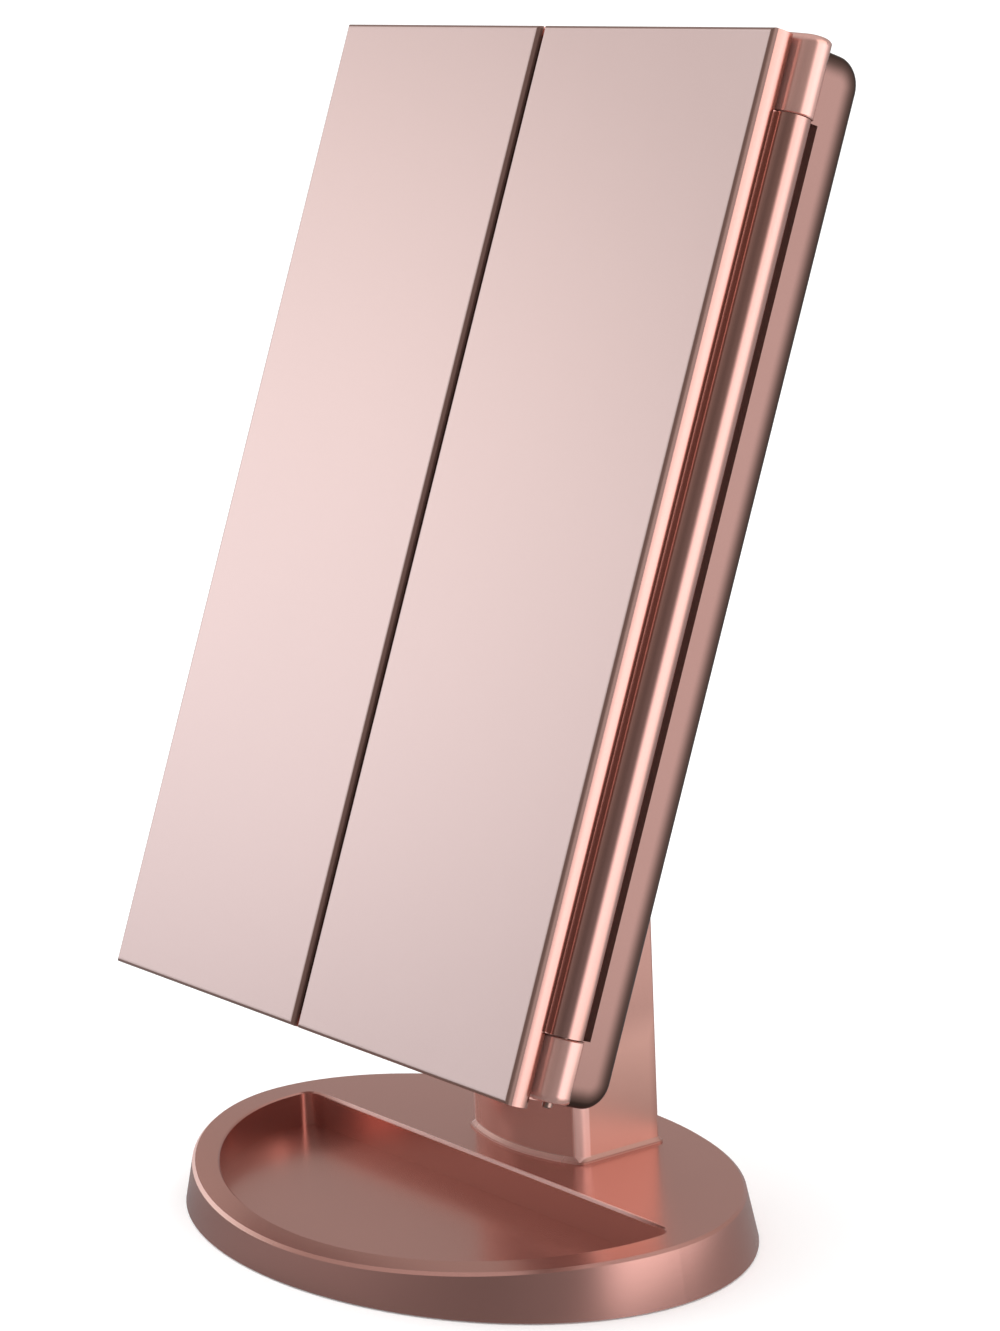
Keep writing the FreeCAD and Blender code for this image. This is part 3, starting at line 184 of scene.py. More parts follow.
def build_moulded_skin():
    """Spark-eroded grain of moulded plastic and rubber, with a little tone drift."""
    group, given, out = new_group("moulded_skin", [
        ("Dark", COLOUR, (0.02, 0.02, 0.02, 1)), ("Pale", COLOUR, (0.04, 0.04, 0.04, 1)),
        ("Roughness", NUMBER, 0.5), ("Grain Size", NUMBER, 2600.0), ("Depth", NUMBER, 0.15),
    ], [("Colour", COLOUR), ("Roughness", NUMBER), ("Normal", VECTOR)])
    place = add(group, "TexCoord")
    grain = add(group, "TexNoise", {"Detail": 4.0, "Roughness": 0.6})
    drift = add(group, "TexNoise", {"Scale": 30.0, "Detail": 2.0})
    tone = add(group, "Mix", data_type="RGBA")
    span = add(group, "MapRange", {"To Min": -0.06, "To Max": 0.06})
    rough = add(group, "Math", operation="ADD")
    bump = add(group, "Bump", {"Distance": 0.0003})
    wire(group,
         (place.outputs["Object"], grain.inputs["Vector"]), (place.outputs["Object"], drift.inputs["Vector"]),
         (given.outputs["Grain Size"], grain.inputs["Scale"]), (drift.outputs["Fac"], tone.inputs["Factor"]),
         (given.outputs["Dark"], tone.inputs["A"]), (given.outputs["Pale"], tone.inputs["B"]),
         (tone.outputs["Result"], out.inputs["Colour"]), (grain.outputs["Fac"], span.inputs["Value"]),
         (span.outputs[0], rough.inputs[0]), (given.outputs["Roughness"], rough.inputs[1]),
         (rough.outputs[0], out.inputs["Roughness"]), (grain.outputs["Fac"], bump.inputs["Height"]),
         (given.outputs["Depth"], bump.inputs["Strength"]), (bump.outputs["Normal"], out.inputs["Normal"]))
    return group


def build_drawn_metal():
    """Fine lines left by drawing or turning, stretched along one axis of the piece."""
    group, given, out = new_group("drawn_metal", [
        ("Deep", COLOUR, (0.3, 0.3, 0.3, 1)), ("Light", COLOUR, (0.7, 0.7, 0.7, 1)),
        ("Roughness", NUMBER, 0.3), ("Stretch", VECTOR, (40.0, 2500.0, 2500.0)), ("Depth", NUMBER, 0.1),
    ], [("Colour", COLOUR), ("Roughness", NUMBER), ("Normal", VECTOR)])
    place = add(group, "TexCoord")
    stretch = add(group, "VectorMath", operation="MULTIPLY")
    lines = add(group, "TexNoise", {"Scale": 1.0, "Detail": 3.0, "Roughness": 0.7})
    tone = add(group, "Mix", data_type="RGBA")
    span = add(group, "MapRange", {"To Min": -0.08, "To Max": 0.08})
    rough = add(group, "Math", operation="ADD")
    bump = add(group, "Bump", {"Distance": 0.0001})
    wire(group,
         (place.outputs["Object"], stretch.inputs[0]), (given.outputs["Stretch"], stretch.inputs[1]),
         (stretch.outputs[0], lines.inputs["Vector"]), (lines.outputs["Fac"], tone.inputs["Factor"]),
         (given.outputs["Deep"], tone.inputs["A"]), (given.outputs["Light"], tone.inputs["B"]),
         (tone.outputs["Result"], out.inputs["Colour"]), (lines.outputs["Fac"], span.inputs["Value"]),
         (span.outputs[0], rough.inputs[0]), (given.outputs["Roughness"], rough.inputs[1]),
         (rough.outputs[0], out.inputs["Roughness"]), (lines.outputs["Fac"], bump.inputs["Height"]),
         (given.outputs["Depth"], bump.inputs["Strength"]), (bump.outputs["Normal"], out.inputs["Normal"]))
    return group


# How steeply Edge Distance rises off the side faces and on the knuckles, in millimetres for each millimetre.
OFF_SIDE_RISE = 3.0
KNUCKLE_RISE = 10.0


def build_head_place():
    """A point's place on the mirror head, in millimetres.

    Across is its distance from the middle plane, Hinge Distance that from the nearer wing hinge's axis, and
    Depth that behind the front face. Edge Distance is how far it lies inside the outline of the shell's side
    faces, a rectangle with two rounded back corners; off those faces and on the hinge knuckles it is large.
    """
    outputs = [(title, NUMBER) for title in ("Across", "Hinge Distance", "Depth", "Edge Distance")]
    group, _, out = new_group("head_place", [], outputs)
    place = add(group, "TexCoord")
    level = add(group, "Mapping", vector_type="TEXTURE")
    level.inputs["Location"].default_value = HEAD.translation
    level.inputs["Rotation"].default_value = (-LEAN, 0, 0)
    scaled = add(group, "VectorMath", {"Scale": 1 / MM}, operation="SCALE")
    folded = add(group, "VectorMath", operation="ABSOLUTE")
    offset = add(group, "VectorMath", {1: (HINGE_ACROSS, HINGE_DEPTH, 0)}, operation="SUBTRACT")
    plan = add(group, "VectorMath", {1: (1, 1, 0)}, operation="MULTIPLY")
    length = add(group, "VectorMath", operation="LENGTH")
    parts = add(group, "SeparateXYZ")
    across = add(group, "Math", operation="ABSOLUTE")
    from_middle = add(group, "VectorMath", {1: (0, 0, HEAD_MIDDLE)}, operation="SUBTRACT")
    mirrored = add(group, "VectorMath", operation="ABSOLUTE")
    corner = (0, HEAD_BACK - HEAD_CORNER_R, HEAD_HALF_HEIGHT - HEAD_CORNER_R)
    past_corner = add(group, "VectorMath", {1: corner}, operation="SUBTRACT")
    outside = add(group, "VectorMath", {1: (0, 0, 0)}, operation="MAXIMUM")
    in_side = add(group, "VectorMath", {1: (0, 1, 1)}, operation="MULTIPLY")
    reach = add(group, "VectorMath", operation="LENGTH")
    inward = add(group, "Math", {0: HEAD_CORNER_R}, operation="SUBTRACT")
    off_side = add(group, "Math", {1: -OFF_SIDE_RISE, 2: OFF_SIDE_RISE * HEAD_SIDE}, operation="MULTIPLY_ADD")
    on_knuckle = add(group, "Math", {1: -KNUCKLE_RISE, 2: KNUCKLE_RISE * KNUCKLE_R}, operation="MULTIPLY_ADD")
    elsewhere = add(group, "Math", operation="MAXIMUM")
    edge = add(group, "Math", operation="MAXIMUM")
    wire(group,
         (place.outputs["Object"], level.inputs["Vector"]), (level.outputs["Vector"], scaled.inputs[0]),
         (scaled.outputs[0], folded.inputs[0]), (folded.outputs[0], offset.inputs[0]),
         (offset.outputs[0], plan.inputs[0]), (plan.outputs[0], length.inputs[0]),
         (scaled.outputs[0], parts.inputs[0]), (length.outputs["Value"], out.inputs["Hinge Distance"]),
         (parts.outputs["X"], across.inputs[0]), (across.outputs[0], out.inputs["Across"]),
         (parts.outputs["Y"], out.inputs["Depth"]), (scaled.outputs[0], from_middle.inputs[0]),
         (from_middle.outputs[0], mirrored.inputs[0]), (mirrored.outputs[0], past_corner.inputs[0]),
         (past_corner.outputs[0], outside.inputs[0]), (outside.outputs[0], in_side.inputs[0]),
         (in_side.outputs[0], reach.inputs[0]), (reach.outputs["Value"], inward.inputs[1]),
         (across.outputs[0], off_side.inputs[0]), (length.outputs["Value"], on_knuckle.inputs[0]),
         (off_side.outputs[0], elsewhere.inputs[0]), (on_knuckle.outputs[0], elsewhere.inputs[1]),
         (inward.outputs[0], edge.inputs[0]), (elsewhere.outputs[0], edge.inputs[1]),
         (edge.outputs[0], out.inputs["Edge Distance"]))
    return group


def build_soft_box():
    """1 inside a box and its mirror images about the middle planes, fading to 0 at its faces; in mm."""
    inputs = [("Centre", VECTOR, (0, 0, 0)), ("Half Size", VECTOR, (1, 1, 1))]
    group, given, out = new_group("soft_box", inputs, [("Inside", NUMBER)])
    place = add(group, "TexCoord")
    scaled = add(group, "VectorMath", {"Scale": 1 / MM}, operation="SCALE")
    folded = add(group, "VectorMath", operation="ABSOLUTE")
    offset = add(group, "VectorMath", operation="SUBTRACT")
    share = add(group, "VectorMath", operation="DIVIDE")
    far = add(group, "VectorMath", operation="ABSOLUTE")
    parts = add(group, "SeparateXYZ")
    two = add(group, "Math", operation="MAXIMUM")
    three = add(group, "Math", operation="MAXIMUM")
    fade = ramp(group, 1.0, 0.7)
    wire(group,
         (place.outputs["Object"], scaled.inputs[0]), (scaled.outputs[0], folded.inputs[0]),
         (folded.outputs[0], offset.inputs[0]), (given.outputs["Centre"], offset.inputs[1]),
         (offset.outputs[0], share.inputs[0]), (given.outputs["Half Size"], share.inputs[1]),
         (share.outputs[0], far.inputs[0]), (far.outputs[0], parts.inputs[0]),
         (parts.outputs["X"], two.inputs[0]), (parts.outputs["Y"], two.inputs[1]),
         (two.outputs[0], three.inputs[0]), (parts.outputs["Z"], three.inputs[1]),
         (three.outputs[0], fade.inputs["Value"]), (fade.outputs[0], out.inputs["Inside"]))
    return group


# The bevel round the base's rim, where a painted highlight lies: its share of the top outline, how upright its
# normals are, and where it fades out across the base.
BEVEL_REACH = (0.975, 0.98)
BEVEL_ABOVE_SIDE = (0.34, 0.44)
BEVEL_BELOW_TOP = (0.96, 0.90)
BEVEL_LEFT = (20 * MM, -30 * MM)


def build_rim_highlight_mask():
    """Mask for a painted highlight: 1 on the left half of the bevel between the top and the outer side of the
    base, else 0.
    """
    group, _, out = new_group("rim_bevel", [], [("Inside", NUMBER)])
    place = add(group, "TexCoord")
    half_length, half_depth = BASE_TOP
    to_shares = (1 / (half_length * MM), 1 / (half_depth * MM), 0)
    shares = add(group, "VectorMath", {1: to_shares}, operation="MULTIPLY")
    reach = add(group, "VectorMath", operation="LENGTH")
    outer = ramp(group, *BEVEL_REACH, smooth=False)
    slope = add(group, "NewGeometry")
    parts = add(group, "SeparateXYZ")
    not_wall = ramp(group, *BEVEL_ABOVE_SIDE, smooth=False)
    not_top = ramp(group, *BEVEL_BELOW_TOP, smooth=False)
    across = add(group, "SeparateXYZ")
    on_left = ramp(group, *BEVEL_LEFT)
    two = add(group, "Math", operation="MULTIPLY")
    three = add(group, "Math", operation="MULTIPLY")
    four = add(group, "Math", operation="MULTIPLY")
    wire(group,
         (place.outputs["Object"], shares.inputs[0]), (shares.outputs[0], reach.inputs[0]),
         (reach.outputs["Value"], outer.inputs["Value"]), (slope.outputs["Normal"], parts.inputs[0]),
         (parts.outputs["Z"], not_wall.inputs["Value"]), (parts.outputs["Z"], not_top.inputs["Value"]),
         (not_wall.outputs[0], two.inputs[0]), (not_top.outputs[0], two.inputs[1]),
         (two.outputs[0], three.inputs[0]), (outer.outputs[0], three.inputs[1]),
         (place.outputs["Object"], across.inputs[0]), (across.outputs["X"], on_left.inputs["Value"]),
         (three.outputs[0], four.inputs[0]), (on_left.outputs[0], four.inputs[1]),
         (four.outputs[0], out.inputs["Inside"]))
    return group


HEAD_PLACE = build_head_place()
RIM_HIGHLIGHT_MASK = build_rim_highlight_mask()
SOFT_BOX = build_soft_box()
PEARL_PIGMENT = build_pearl_pigment()
MOULDED_SKIN = build_moulded_skin()
DRAWN_METAL = build_drawn_metal()


def finish_material(name, group, group_values, shader_values):
    """A material whose colour, roughness and normal come from one finish group."""
    material = bpy.data.materials.new(name)
    material.use_nodes = True
    tree = material.node_tree
    shader = tree.nodes["Principled BSDF"]
    for key, value in shader_values.items():
        shader.inputs[key].default_value = value
    finish = add_group(tree, group, group_values)
    wire(tree,
         (finish.outputs["Colour"], shader.inputs["Base Color"]),
         (finish.outputs["Roughness"], shader.inputs["Roughness"]),
         (finish.outputs["Normal"], shader.inputs["Normal"]))
    return material


def rose_lacquer(name, deep, light, roughness, flake_strength=0.30, coat=0.06, coat_roughness=0.08,
                 metallic=1.0):
    """Rose-gold metallic lacquer under a clear coat."""
    return finish_material(name, PEARL_PIGMENT,
                           {"Deep": deep + (1,), "Light": light + (1,), "Roughness": roughness,
                            "Flake Strength": flake_strength},
                           {"Metallic": metallic, "Coat Weight": coat, "Coat Roughness": coat_roughness})


def lay_over(material, share, tone, roughness, blend_type):
    """Blends a tone and a roughness into a lacquer where share, an output socket, is 1."""
    tree = material.node_tree
    shader = tree.nodes["Principled BSDF"]
    colour = add(tree, "Mix", {"B": tone + (1,)}, data_type="RGBA", blend_type=blend_type)
    rough = add(tree, "Mix", {"B": roughness}, data_type="FLOAT")
    wire(tree,
         (share, colour.inputs["Factor"]), (share, rough.inputs["Factor"]),
         (shader.inputs["Base Color"].links[0].from_socket, colour.inputs["A"]),
         (shader.inputs["Roughness"].links[0].from_socket, rough.inputs["A"]),
         (colour.outputs["Result"], shader.inputs["Base Color"]),
         (rough.outputs["Result"], shader.inputs["Roughness"]))


def paint_shade_past(material, where, span, tone, roughness):
    """Painted shade: multiplies a lacquer's colour by a darker tone past a span in mm; where is an output of
    head_place.
    """
    tree = material.node_tree
    spot = add_group(tree, HEAD_PLACE)
    past = ramp(tree, *span)
    wire(tree, (spot.outputs[where], past.inputs["Value"]))
    lay_over(material, past.outputs[0], tone, roughness, "MULTIPLY")


def painted_light_zone(material, mask, tone, metallic, roughness, **places):
    """Painted light: paler, less metallic lacquer laid by place inside a mask, for painted highlights and
    reflections; places are the mask's values.
    """
    tree = material.node_tree
    metal_input = tree.nodes["Principled BSDF"].inputs["Metallic"]
    spot = add_group(tree, mask, {key.replace("_", " "): value for key, value in places.items()})
    lay_over(material, spot.outputs["Inside"], tone, roughness, "MIX")
    metal_share = add(tree, "Mix", {"A": metal_input.default_value, "B": metallic}, data_type="FLOAT")
    if metal_input.links:
        wire(tree, (metal_input.links[0].from_socket, metal_share.inputs["A"]))
    wire(tree,
         (spot.outputs["Inside"], metal_share.inputs["Factor"]), (metal_share.outputs["Result"], metal_input))


def plastic(name, dark, pale, roughness, depth=0.15, grain=2600.0, **shader_values):
    """Moulded plastic or rubber, with the depth and size of its grain."""
    return finish_material(name, MOULDED_SKIN,
                           {"Dark": dark + (1,), "Pale": pale + (1,), "Roughness": roughness, "Depth": depth,
                            "Grain Size": grain}, shader_values)


def metal(name, deep, light, roughness, stretch, depth=0.1):
    """Bare or plated metal with fine lines; stretch is how dense they are along each axis."""
    return finish_material(name, DRAWN_METAL,
                           {"Deep": deep + (1,), "Light": light + (1,), "Roughness": roughness,
                            "Stretch": stretch, "Depth": depth}, {"Metallic": 1.0})


# ---- finishes -------------------------------------------------------------------------------------
ROSE_DEEP = (0.62, 0.330, 0.280)
ROSE_LIGHT = (0.74, 0.405, 0.350)
ROSE_POLISHED = rose_lacquer("rose_polished_lacquer", ROSE_DEEP, ROSE_LIGHT, 0.19)

# The stem: satin flat sides between polished rounds, their colour darkened by painted shade; painted light makes
# it paler low on the sides, and painted highlights run down the front corners and along the bead at its foot.
STEM_SIDE = (22.6, 22.8)
ROSE_STEM = rose_lacquer("rose_stem_lacquer", ROSE_DEEP, ROSE_LIGHT, 0.22, metallic=0.62)
# Painted shade on the flat sides.
paint_shade_past(ROSE_STEM, "Across", STEM_SIDE, (0.68, 0.66, 0.64), 0.32)
# Painted light, paler and warmer, low on the sides.
painted_light_zone(ROSE_STEM, SOFT_BOX, (0.64, 0.345, 0.285), 0.60, 0.32,
          Centre=(22.8, 33.0, 14.0), Half_Size=(1.0, 14.0, 38.0))
# Painted highlight down the front corners.
painted_light_zone(ROSE_STEM, SOFT_BOX, (0.97, 0.62, 0.56), 0.30, 0.32,
          Centre=(21.7, 21.6, 60.0), Half_Size=(1.4, 2.1, 60.0))
# Painted highlight along the bead at the foot.
painted_light_zone(ROSE_STEM, SOFT_BOX, (0.86, 0.53, 0.47), 0.50, 0.28,
          Centre=(0.0, 17.2, 14.8), Half_Size=(24.0, 4.0, 0.9))

# The base: a softer polish, with a painted highlight along the deck's straight edge and round the left half of the
# rim.
ROSE_BASE = rose_lacquer("rose_base_lacquer", (0.60, 0.300, 0.255), (0.70, 0.362, 0.312), 0.25,
                         coat=0.04, coat_roughness=0.10, metallic=0.93)
# Painted highlight along the deck's straight edge.
painted_light_zone(ROSE_BASE, SOFT_BOX, (0.97, 0.62, 0.57), 0.30, 0.36,
          Centre=(0.0, 6.0, 14.2), Half_Size=(76.0, 0.6, 0.8))
# Painted highlight on the left half of the rim's bevel.
painted_light_zone(ROSE_BASE, RIM_HIGHLIGHT_MASK, (0.90, 0.58, 0.52), 0.45, 0.32)

# The head's shell: polished knuckles, satin sides and back darkened by painted shade, and painted shade along the
# rolled edge round the sides.
KNUCKLE_END = (4.9, 5.9)
ROLLED_EDGE_SHADE = (5.8, 1.6)
ROSE_HEAD = rose_lacquer("rose_head_lacquer", (0.72, 0.405, 0.350), (0.84, 0.485, 0.425), 0.20, metallic=0.76)
# Painted shade on the shell's sides and back, away from the knuckles.
paint_shade_past(ROSE_HEAD, "Hinge Distance", KNUCKLE_END, (0.42, 0.40, 0.39), 0.32)
# Painted shade along the rolled back edge.
paint_shade_past(ROSE_HEAD, "Edge Distance", ROLLED_EDGE_SHADE, (0.15, 0.12, 0.095), 0.38)

# The wings' plates: pale fronts, and painted shade on their edges along the seam to the frame.
PLATE_FRONT_END = (0.02, 0.12)
ROSE_PLATE = rose_lacquer("rose_plate_lacquer", (0.76, 0.58, 0.56), (0.83, 0.65, 0.63), 0.17,
                          flake_strength=0.20, coat=0.10, coat_roughness=0.10, metallic=0.55)
# Painted shade on the plates' edges.
paint_shade_past(ROSE_PLATE, "Depth", PLATE_FRONT_END, (0.28, 0.20, 0.17), 0.35)

BLACK_PLASTIC = plastic("black_moulded_plastic", (0.012, 0.012, 0.013), (0.022, 0.022, 0.024), 0.48)
WHITE_PLASTIC = plastic("white_moulded_plastic", (0.76, 0.76, 0.74), (0.84, 0.84, 0.82), 0.45)
RUBBER = plastic("black_rubber", (0.018, 0.018, 0.018), (0.035, 0.034, 0.033), 0.72, depth=0.4)
NYLON = plastic("natural_nylon", (0.70, 0.68, 0.62), (0.80, 0.78, 0.72), 0.40, depth=0.1,
                **{"Subsurface Weight": 0.15})
FOAM = plastic("white_foam_tape", (0.70, 0.70, 0.66), (0.86, 0.86, 0.83), 0.85, depth=0.8, grain=1400.0)
CIRCUIT_BOARD = plastic("green_solder_mask", (0.010, 0.075, 0.030), (0.016, 0.120, 0.045), 0.28, depth=0.1)
CHIP_BLACK = plastic("chip_epoxy", (0.010, 0.010, 0.011), (0.020, 0.020, 0.021), 0.42, depth=0.3, grain=5200.0)
CELL_JACKET = plastic("cell_sleeve", (0.05, 0.07, 0.11), (0.07, 0.10, 0.15), 0.25, depth=0.05)
DIFFUSER = plastic("frosted_acrylic", (0.86, 0.87, 0.87), (0.92, 0.92, 0.91), 0.42, depth=0.10, grain=3600.0,
                   **{"Subsurface Weight": 0.35, "Subsurface Radius": (0.004, 0.004, 0.004),
                      "Transmission Weight": 0.15})
LED_CASE = plastic("led_phosphor", (0.80, 0.66, 0.18), (0.88, 0.76, 0.28), 0.35, depth=0.05)

LINES_ALONG_X = (60.0, 1600.0, 1600.0)
LINES_ALONG_Y = (1500.0, 60.0, 1500.0)
LINES_ALONG_Z = (1800.0, 1800.0, 60.0)
EVEN_FINE = (1800.0, 1800.0, 1800.0)
EVEN_BROAD = (3.0, 3.0, 3.0)
STEEL_PLATE = metal("zinc_steel_plate", (0.36, 0.37, 0.38), (0.52, 0.53, 0.54), 0.38, LINES_ALONG_X)
NICKEL = metal("nickel_plate", (0.50, 0.48, 0.45), (0.68, 0.66, 0.62), 0.24, LINES_ALONG_Z)
ROSE_PIN = metal("rose_plated_pin", (0.40, 0.25, 0.21), (0.56, 0.36, 0.31), 0.30, LINES_ALONG_Z)
SCREW_STEEL = metal("screw_nickel", (0.42, 0.42, 0.42), (0.62, 0.62, 0.61), 0.26, EVEN_FINE)
COPPER = metal("copper_pad", (0.62, 0.30, 0.18), (0.78, 0.42, 0.28), 0.30, LINES_ALONG_Y)
SILVERED = metal("silvered_glass", (0.86, 0.875, 0.885), (0.90, 0.91, 0.915), 0.10, EVEN_BROAD, depth=0.0)

FINISHES = {
    "rose_shell": ROSE_POLISHED, "rose_plate": ROSE_PLATE, "black_plastic": BLACK_PLASTIC,
    "white_plastic": WHITE_PLASTIC, "rubber": RUBBER, "nylon": NYLON, "foam": FOAM,
    "circuit_board": CIRCUIT_BOARD, "chip_black": CHIP_BLACK, "cell_jacket": CELL_JACKET,
    "light_diffuser": DIFFUSER, "led_lens": LED_CASE, "steel_plate": STEEL_PLATE, "nickel": NICKEL,
    "screw_steel": SCREW_STEEL, "copper_pad": COPPER, "mirror_glass": SILVERED,
}
# Parts whose finish differs from the rest of their slot.
OWN_FINISHES = {
    "back_shell": ROSE_HEAD, "stem_shell": ROSE_STEM, "battery_door": ROSE_STEM, "hinge_caps": ROSE_STEM,
    "hinge_pins": ROSE_PIN, "base_tray": ROSE_BASE,
}


def dress_parts():
    """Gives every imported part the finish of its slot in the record, or its own."""
    for part in frame["record"]["subparts"]:
        piece = frame["nodes"][part["node"]]
        piece.data.materials.clear()
        piece.data.materials.append(OWN_FINISHES.get(part["node"], FINISHES[part["material_slot"]]))


dress_parts()


# ---- modelled details -----------------------------------------------------------------------------
# Each is modelled at the origin in millimetres, then set in its place. Faces count as level from this share of
# their normal on, and points as at a height or radius within this distance.
NEAR = 0.01
LEVEL = 0.9
SMOOTH_ANGLE = math.radians(32)
FACING_FRONT = Matrix.Rotation(math.pi / 2, 4, "X")
FACING_BACK = Matrix.Rotation(-math.pi / 2, 4, "X")
FACING_DOWN = Matrix.Rotation(math.pi, 4, "X")
STAND = Matrix.Identity(4)


def select_only(piece):
    bpy.ops.object.select_all(action="DESELECT")
    piece.select_set(True)
    bpy.context.view_layer.objects.active = piece


def edit(piece, faces=None, edges=None):
    """Edit mode with just the faces, or just the edges, selected that pass a test."""
    select_only(piece)
    mesh = piece.data
    for items in (mesh.vertices, mesh.edges, mesh.polygons):
        for item in items:
            item.select = False
    bpy.context.tool_settings.mesh_select_mode = (False, edges is not None, faces is not None)
    if faces is not None:
        for face in mesh.polygons:
            face.select = faces(face)
    else:
        for edge in mesh.edges:
            edge.select = edges([mesh.vertices[number].co for number in edge.vertices])
    bpy.ops.object.mode_set(mode="EDIT")


def leave_edit():
    bpy.ops.object.mode_set(mode="OBJECT")


def push_out(distance):
    bpy.ops.mesh.extrude_region_move(TRANSFORM_OT_translate={"value": (0, 0, distance)})


def grow(share):
    bpy.ops.transform.resize(value=(share, share, 1), center_override=(0, 0, 0))


def cylinder(name, radius, low, high, sides=32):
    bpy.ops.mesh.primitive_cylinder_add(vertices=sides, radius=radius, depth=high - low,
                                        location=(0, 0, (high + low) / 2))
    made = bpy.context.object
    made.name = name
    select_only(made)
    bpy.ops.object.transform_apply(location=True, rotation=True, scale=True)
    return made


def faces_up(height):
    return lambda face: face.normal.z > LEVEL and abs(face.center.z - height) < NEAR


def faces_down(height):
    return lambda face: face.normal.z < -LEVEL and abs(face.center.z - height) < NEAR


def rim(radius, height):
    """Test for the edges of a circle about the Z axis."""
    return lambda ends: all(abs(end.z - height) < NEAR and abs(end.xy.length - radius) < NEAR for end in ends)


def bevel(width, segments):
    bpy.ops.mesh.bevel(offset=width, segments=segments, affect="EDGES")


def round_rim(piece, radius, height, width, segments):
    """Rounds one circular edge of a piece."""
    edit(piece, edges=rim(radius, height))
    bevel(width, segments)
    leave_edit()


def cube(name, across, along, low, high):
    """Box centred over the origin, from one height to another."""
    bpy.ops.mesh.primitive_cube_add(size=1.0, location=(0, 0, (low + high) / 2))
    made = bpy.context.object
    made.name = name
    made.scale = (across, along, high - low)
    select_only(made)
    bpy.ops.object.transform_apply(location=True, rotation=True, scale=True)
    return made


# Cross recess: reach, width and depth of its arms as shares of the screw's head, and the taper of their ends.
CROSS_REACH = 0.56
CROSS_WIDTH = 0.24
CROSS_DEPTH = 0.62
CROSS_TAPER = (0.40, 0.70, 1)


def cut_cross(screw, head_r, head_t):
    """Cross recess with tapered ends, cut from the top of a head."""
    reach, width, depth = CROSS_REACH * head_r, CROSS_WIDTH * head_r, CROSS_DEPTH * head_t
    for quarter in (0, 1):
        arm = cube("recess_arm", reach * 2, width, head_t - depth, head_t + depth)
        edit(arm, faces=faces_down(head_t - depth))
        bpy.ops.transform.resize(value=CROSS_TAPER, center_override=(0, 0, 0))
        bpy.ops.mesh.select_all(action="SELECT")
        bpy.ops.transform.rotate(value=quarter * math.pi / 2, orient_axis="Z", center_override=(0, 0, 0))
        leave_edit()
        cut = screw.modifiers.new("recess", "BOOLEAN")
        cut.operation = "DIFFERENCE"
        cut.object = arm
        select_only(screw)
        bpy.ops.object.modifier_apply(modifier="recess")
        bpy.data.objects.remove(arm, do_unlink=True)


# Sizes in millimetres; a sunk head is a cone with a narrow edge, any other a dome.
ScrewShape = namedtuple("ScrewShape", "shank_r shank_length head_r head_t sunk")
TIP_LENGTH = 0.8
TIP_TAPER = 0.40
CONE_EDGE = 0.08
DOME_SHARE = 0.55


def make_screw(name, shape):
    """Screw along +Z with its seat at height 0, a blunt tip and a cross recess."""
    tip = TIP_LENGTH * shape.shank_r
    screw = cylinder(name, shape.shank_r, tip - shape.shank_length, 0)
    edit(screw, faces=faces_down(tip - shape.shank_length))
    push_out(-tip)
    grow(TIP_TAPER)
    leave_edit()
    edit(screw, faces=faces_up(0))
    if shape.sunk:
        push_out(shape.head_t)
        grow(shape.head_r / shape.shank_r)
    else:
        push_out(0)
        grow(shape.head_r / shape.shank_r)
        push_out(shape.head_t)
    leave_edit()
    if shape.sunk:
        round_rim(screw, shape.head_r, shape.head_t, CONE_EDGE, 2)
    else:
        round_rim(screw, shape.head_r, shape.head_t, DOME_SHARE * shape.head_t, 5)
    cut_cross(screw, shape.head_r, shape.head_t)
    return screw


def settle(piece, placement, body, material, replaced=()):
    """Writes a placement into a piece modelled in millimetres, then names its body, slot and finish."""
    piece.matrix_world = placement @ Matrix.Scale(MM, 4)
    select_only(piece)
    bpy.ops.object.transform_apply(location=True, rotation=True, scale=True)
    bpy.ops.object.shade_smooth_by_angle(angle=SMOOTH_ANGLE)
    piece.data.materials.clear()
    piece.data.materials.append(material)
    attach(piece, body)
    for node in replaced:
        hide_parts(node)


def copy_of(piece, name):
    """Another piece of the same shape, with a mesh of its own."""
    twin = piece.copy()
    twin.data = piece.data.copy()
    twin.name = name
    bpy.context.scene.collection.objects.link(twin)
    return twin


def settle_set(first, name, placements, body, material, node):
    """Copies of one model at each placement; the last place takes the model itself."""
    last = len(placements)
    for number, placement in enumerate(placements, 1):
        piece = first if number == last else copy_of(first, "%s_%d" % (name, number))
        settle(piece, placement, body, material, (node,))
    first.name = "%s_%d" % (name, last)


# Seats of the screw heads, in millimetres: in the head's frame for the first set, else in the stand's.
SHELL_SCREW = ScrewShape(1.1, 14.1, 2.8, 1.1, sunk=False)
SHELL_SCREW_PLACES = [(x, 28.6, z) for x in (-40, 40) for z in (20, 126.5, 233)]
COVER_SCREW = ScrewShape(1.2, 5.6, 2.7, 1.5, sunk=True)
COVER_SCREW_PLACES = [(-44, 40, 2), (44, 40, 2), (-79.3, -6, 2), (79.3, -6, 2)]
STEM_SCREW = ScrewShape(1.3, 12.0, 3.0, 2.2, sunk=False)
STEM_SCREW_PLACES = [(x, y, 12.2) for x in (-18.4, 18.4) for y in (26, 40.6)]


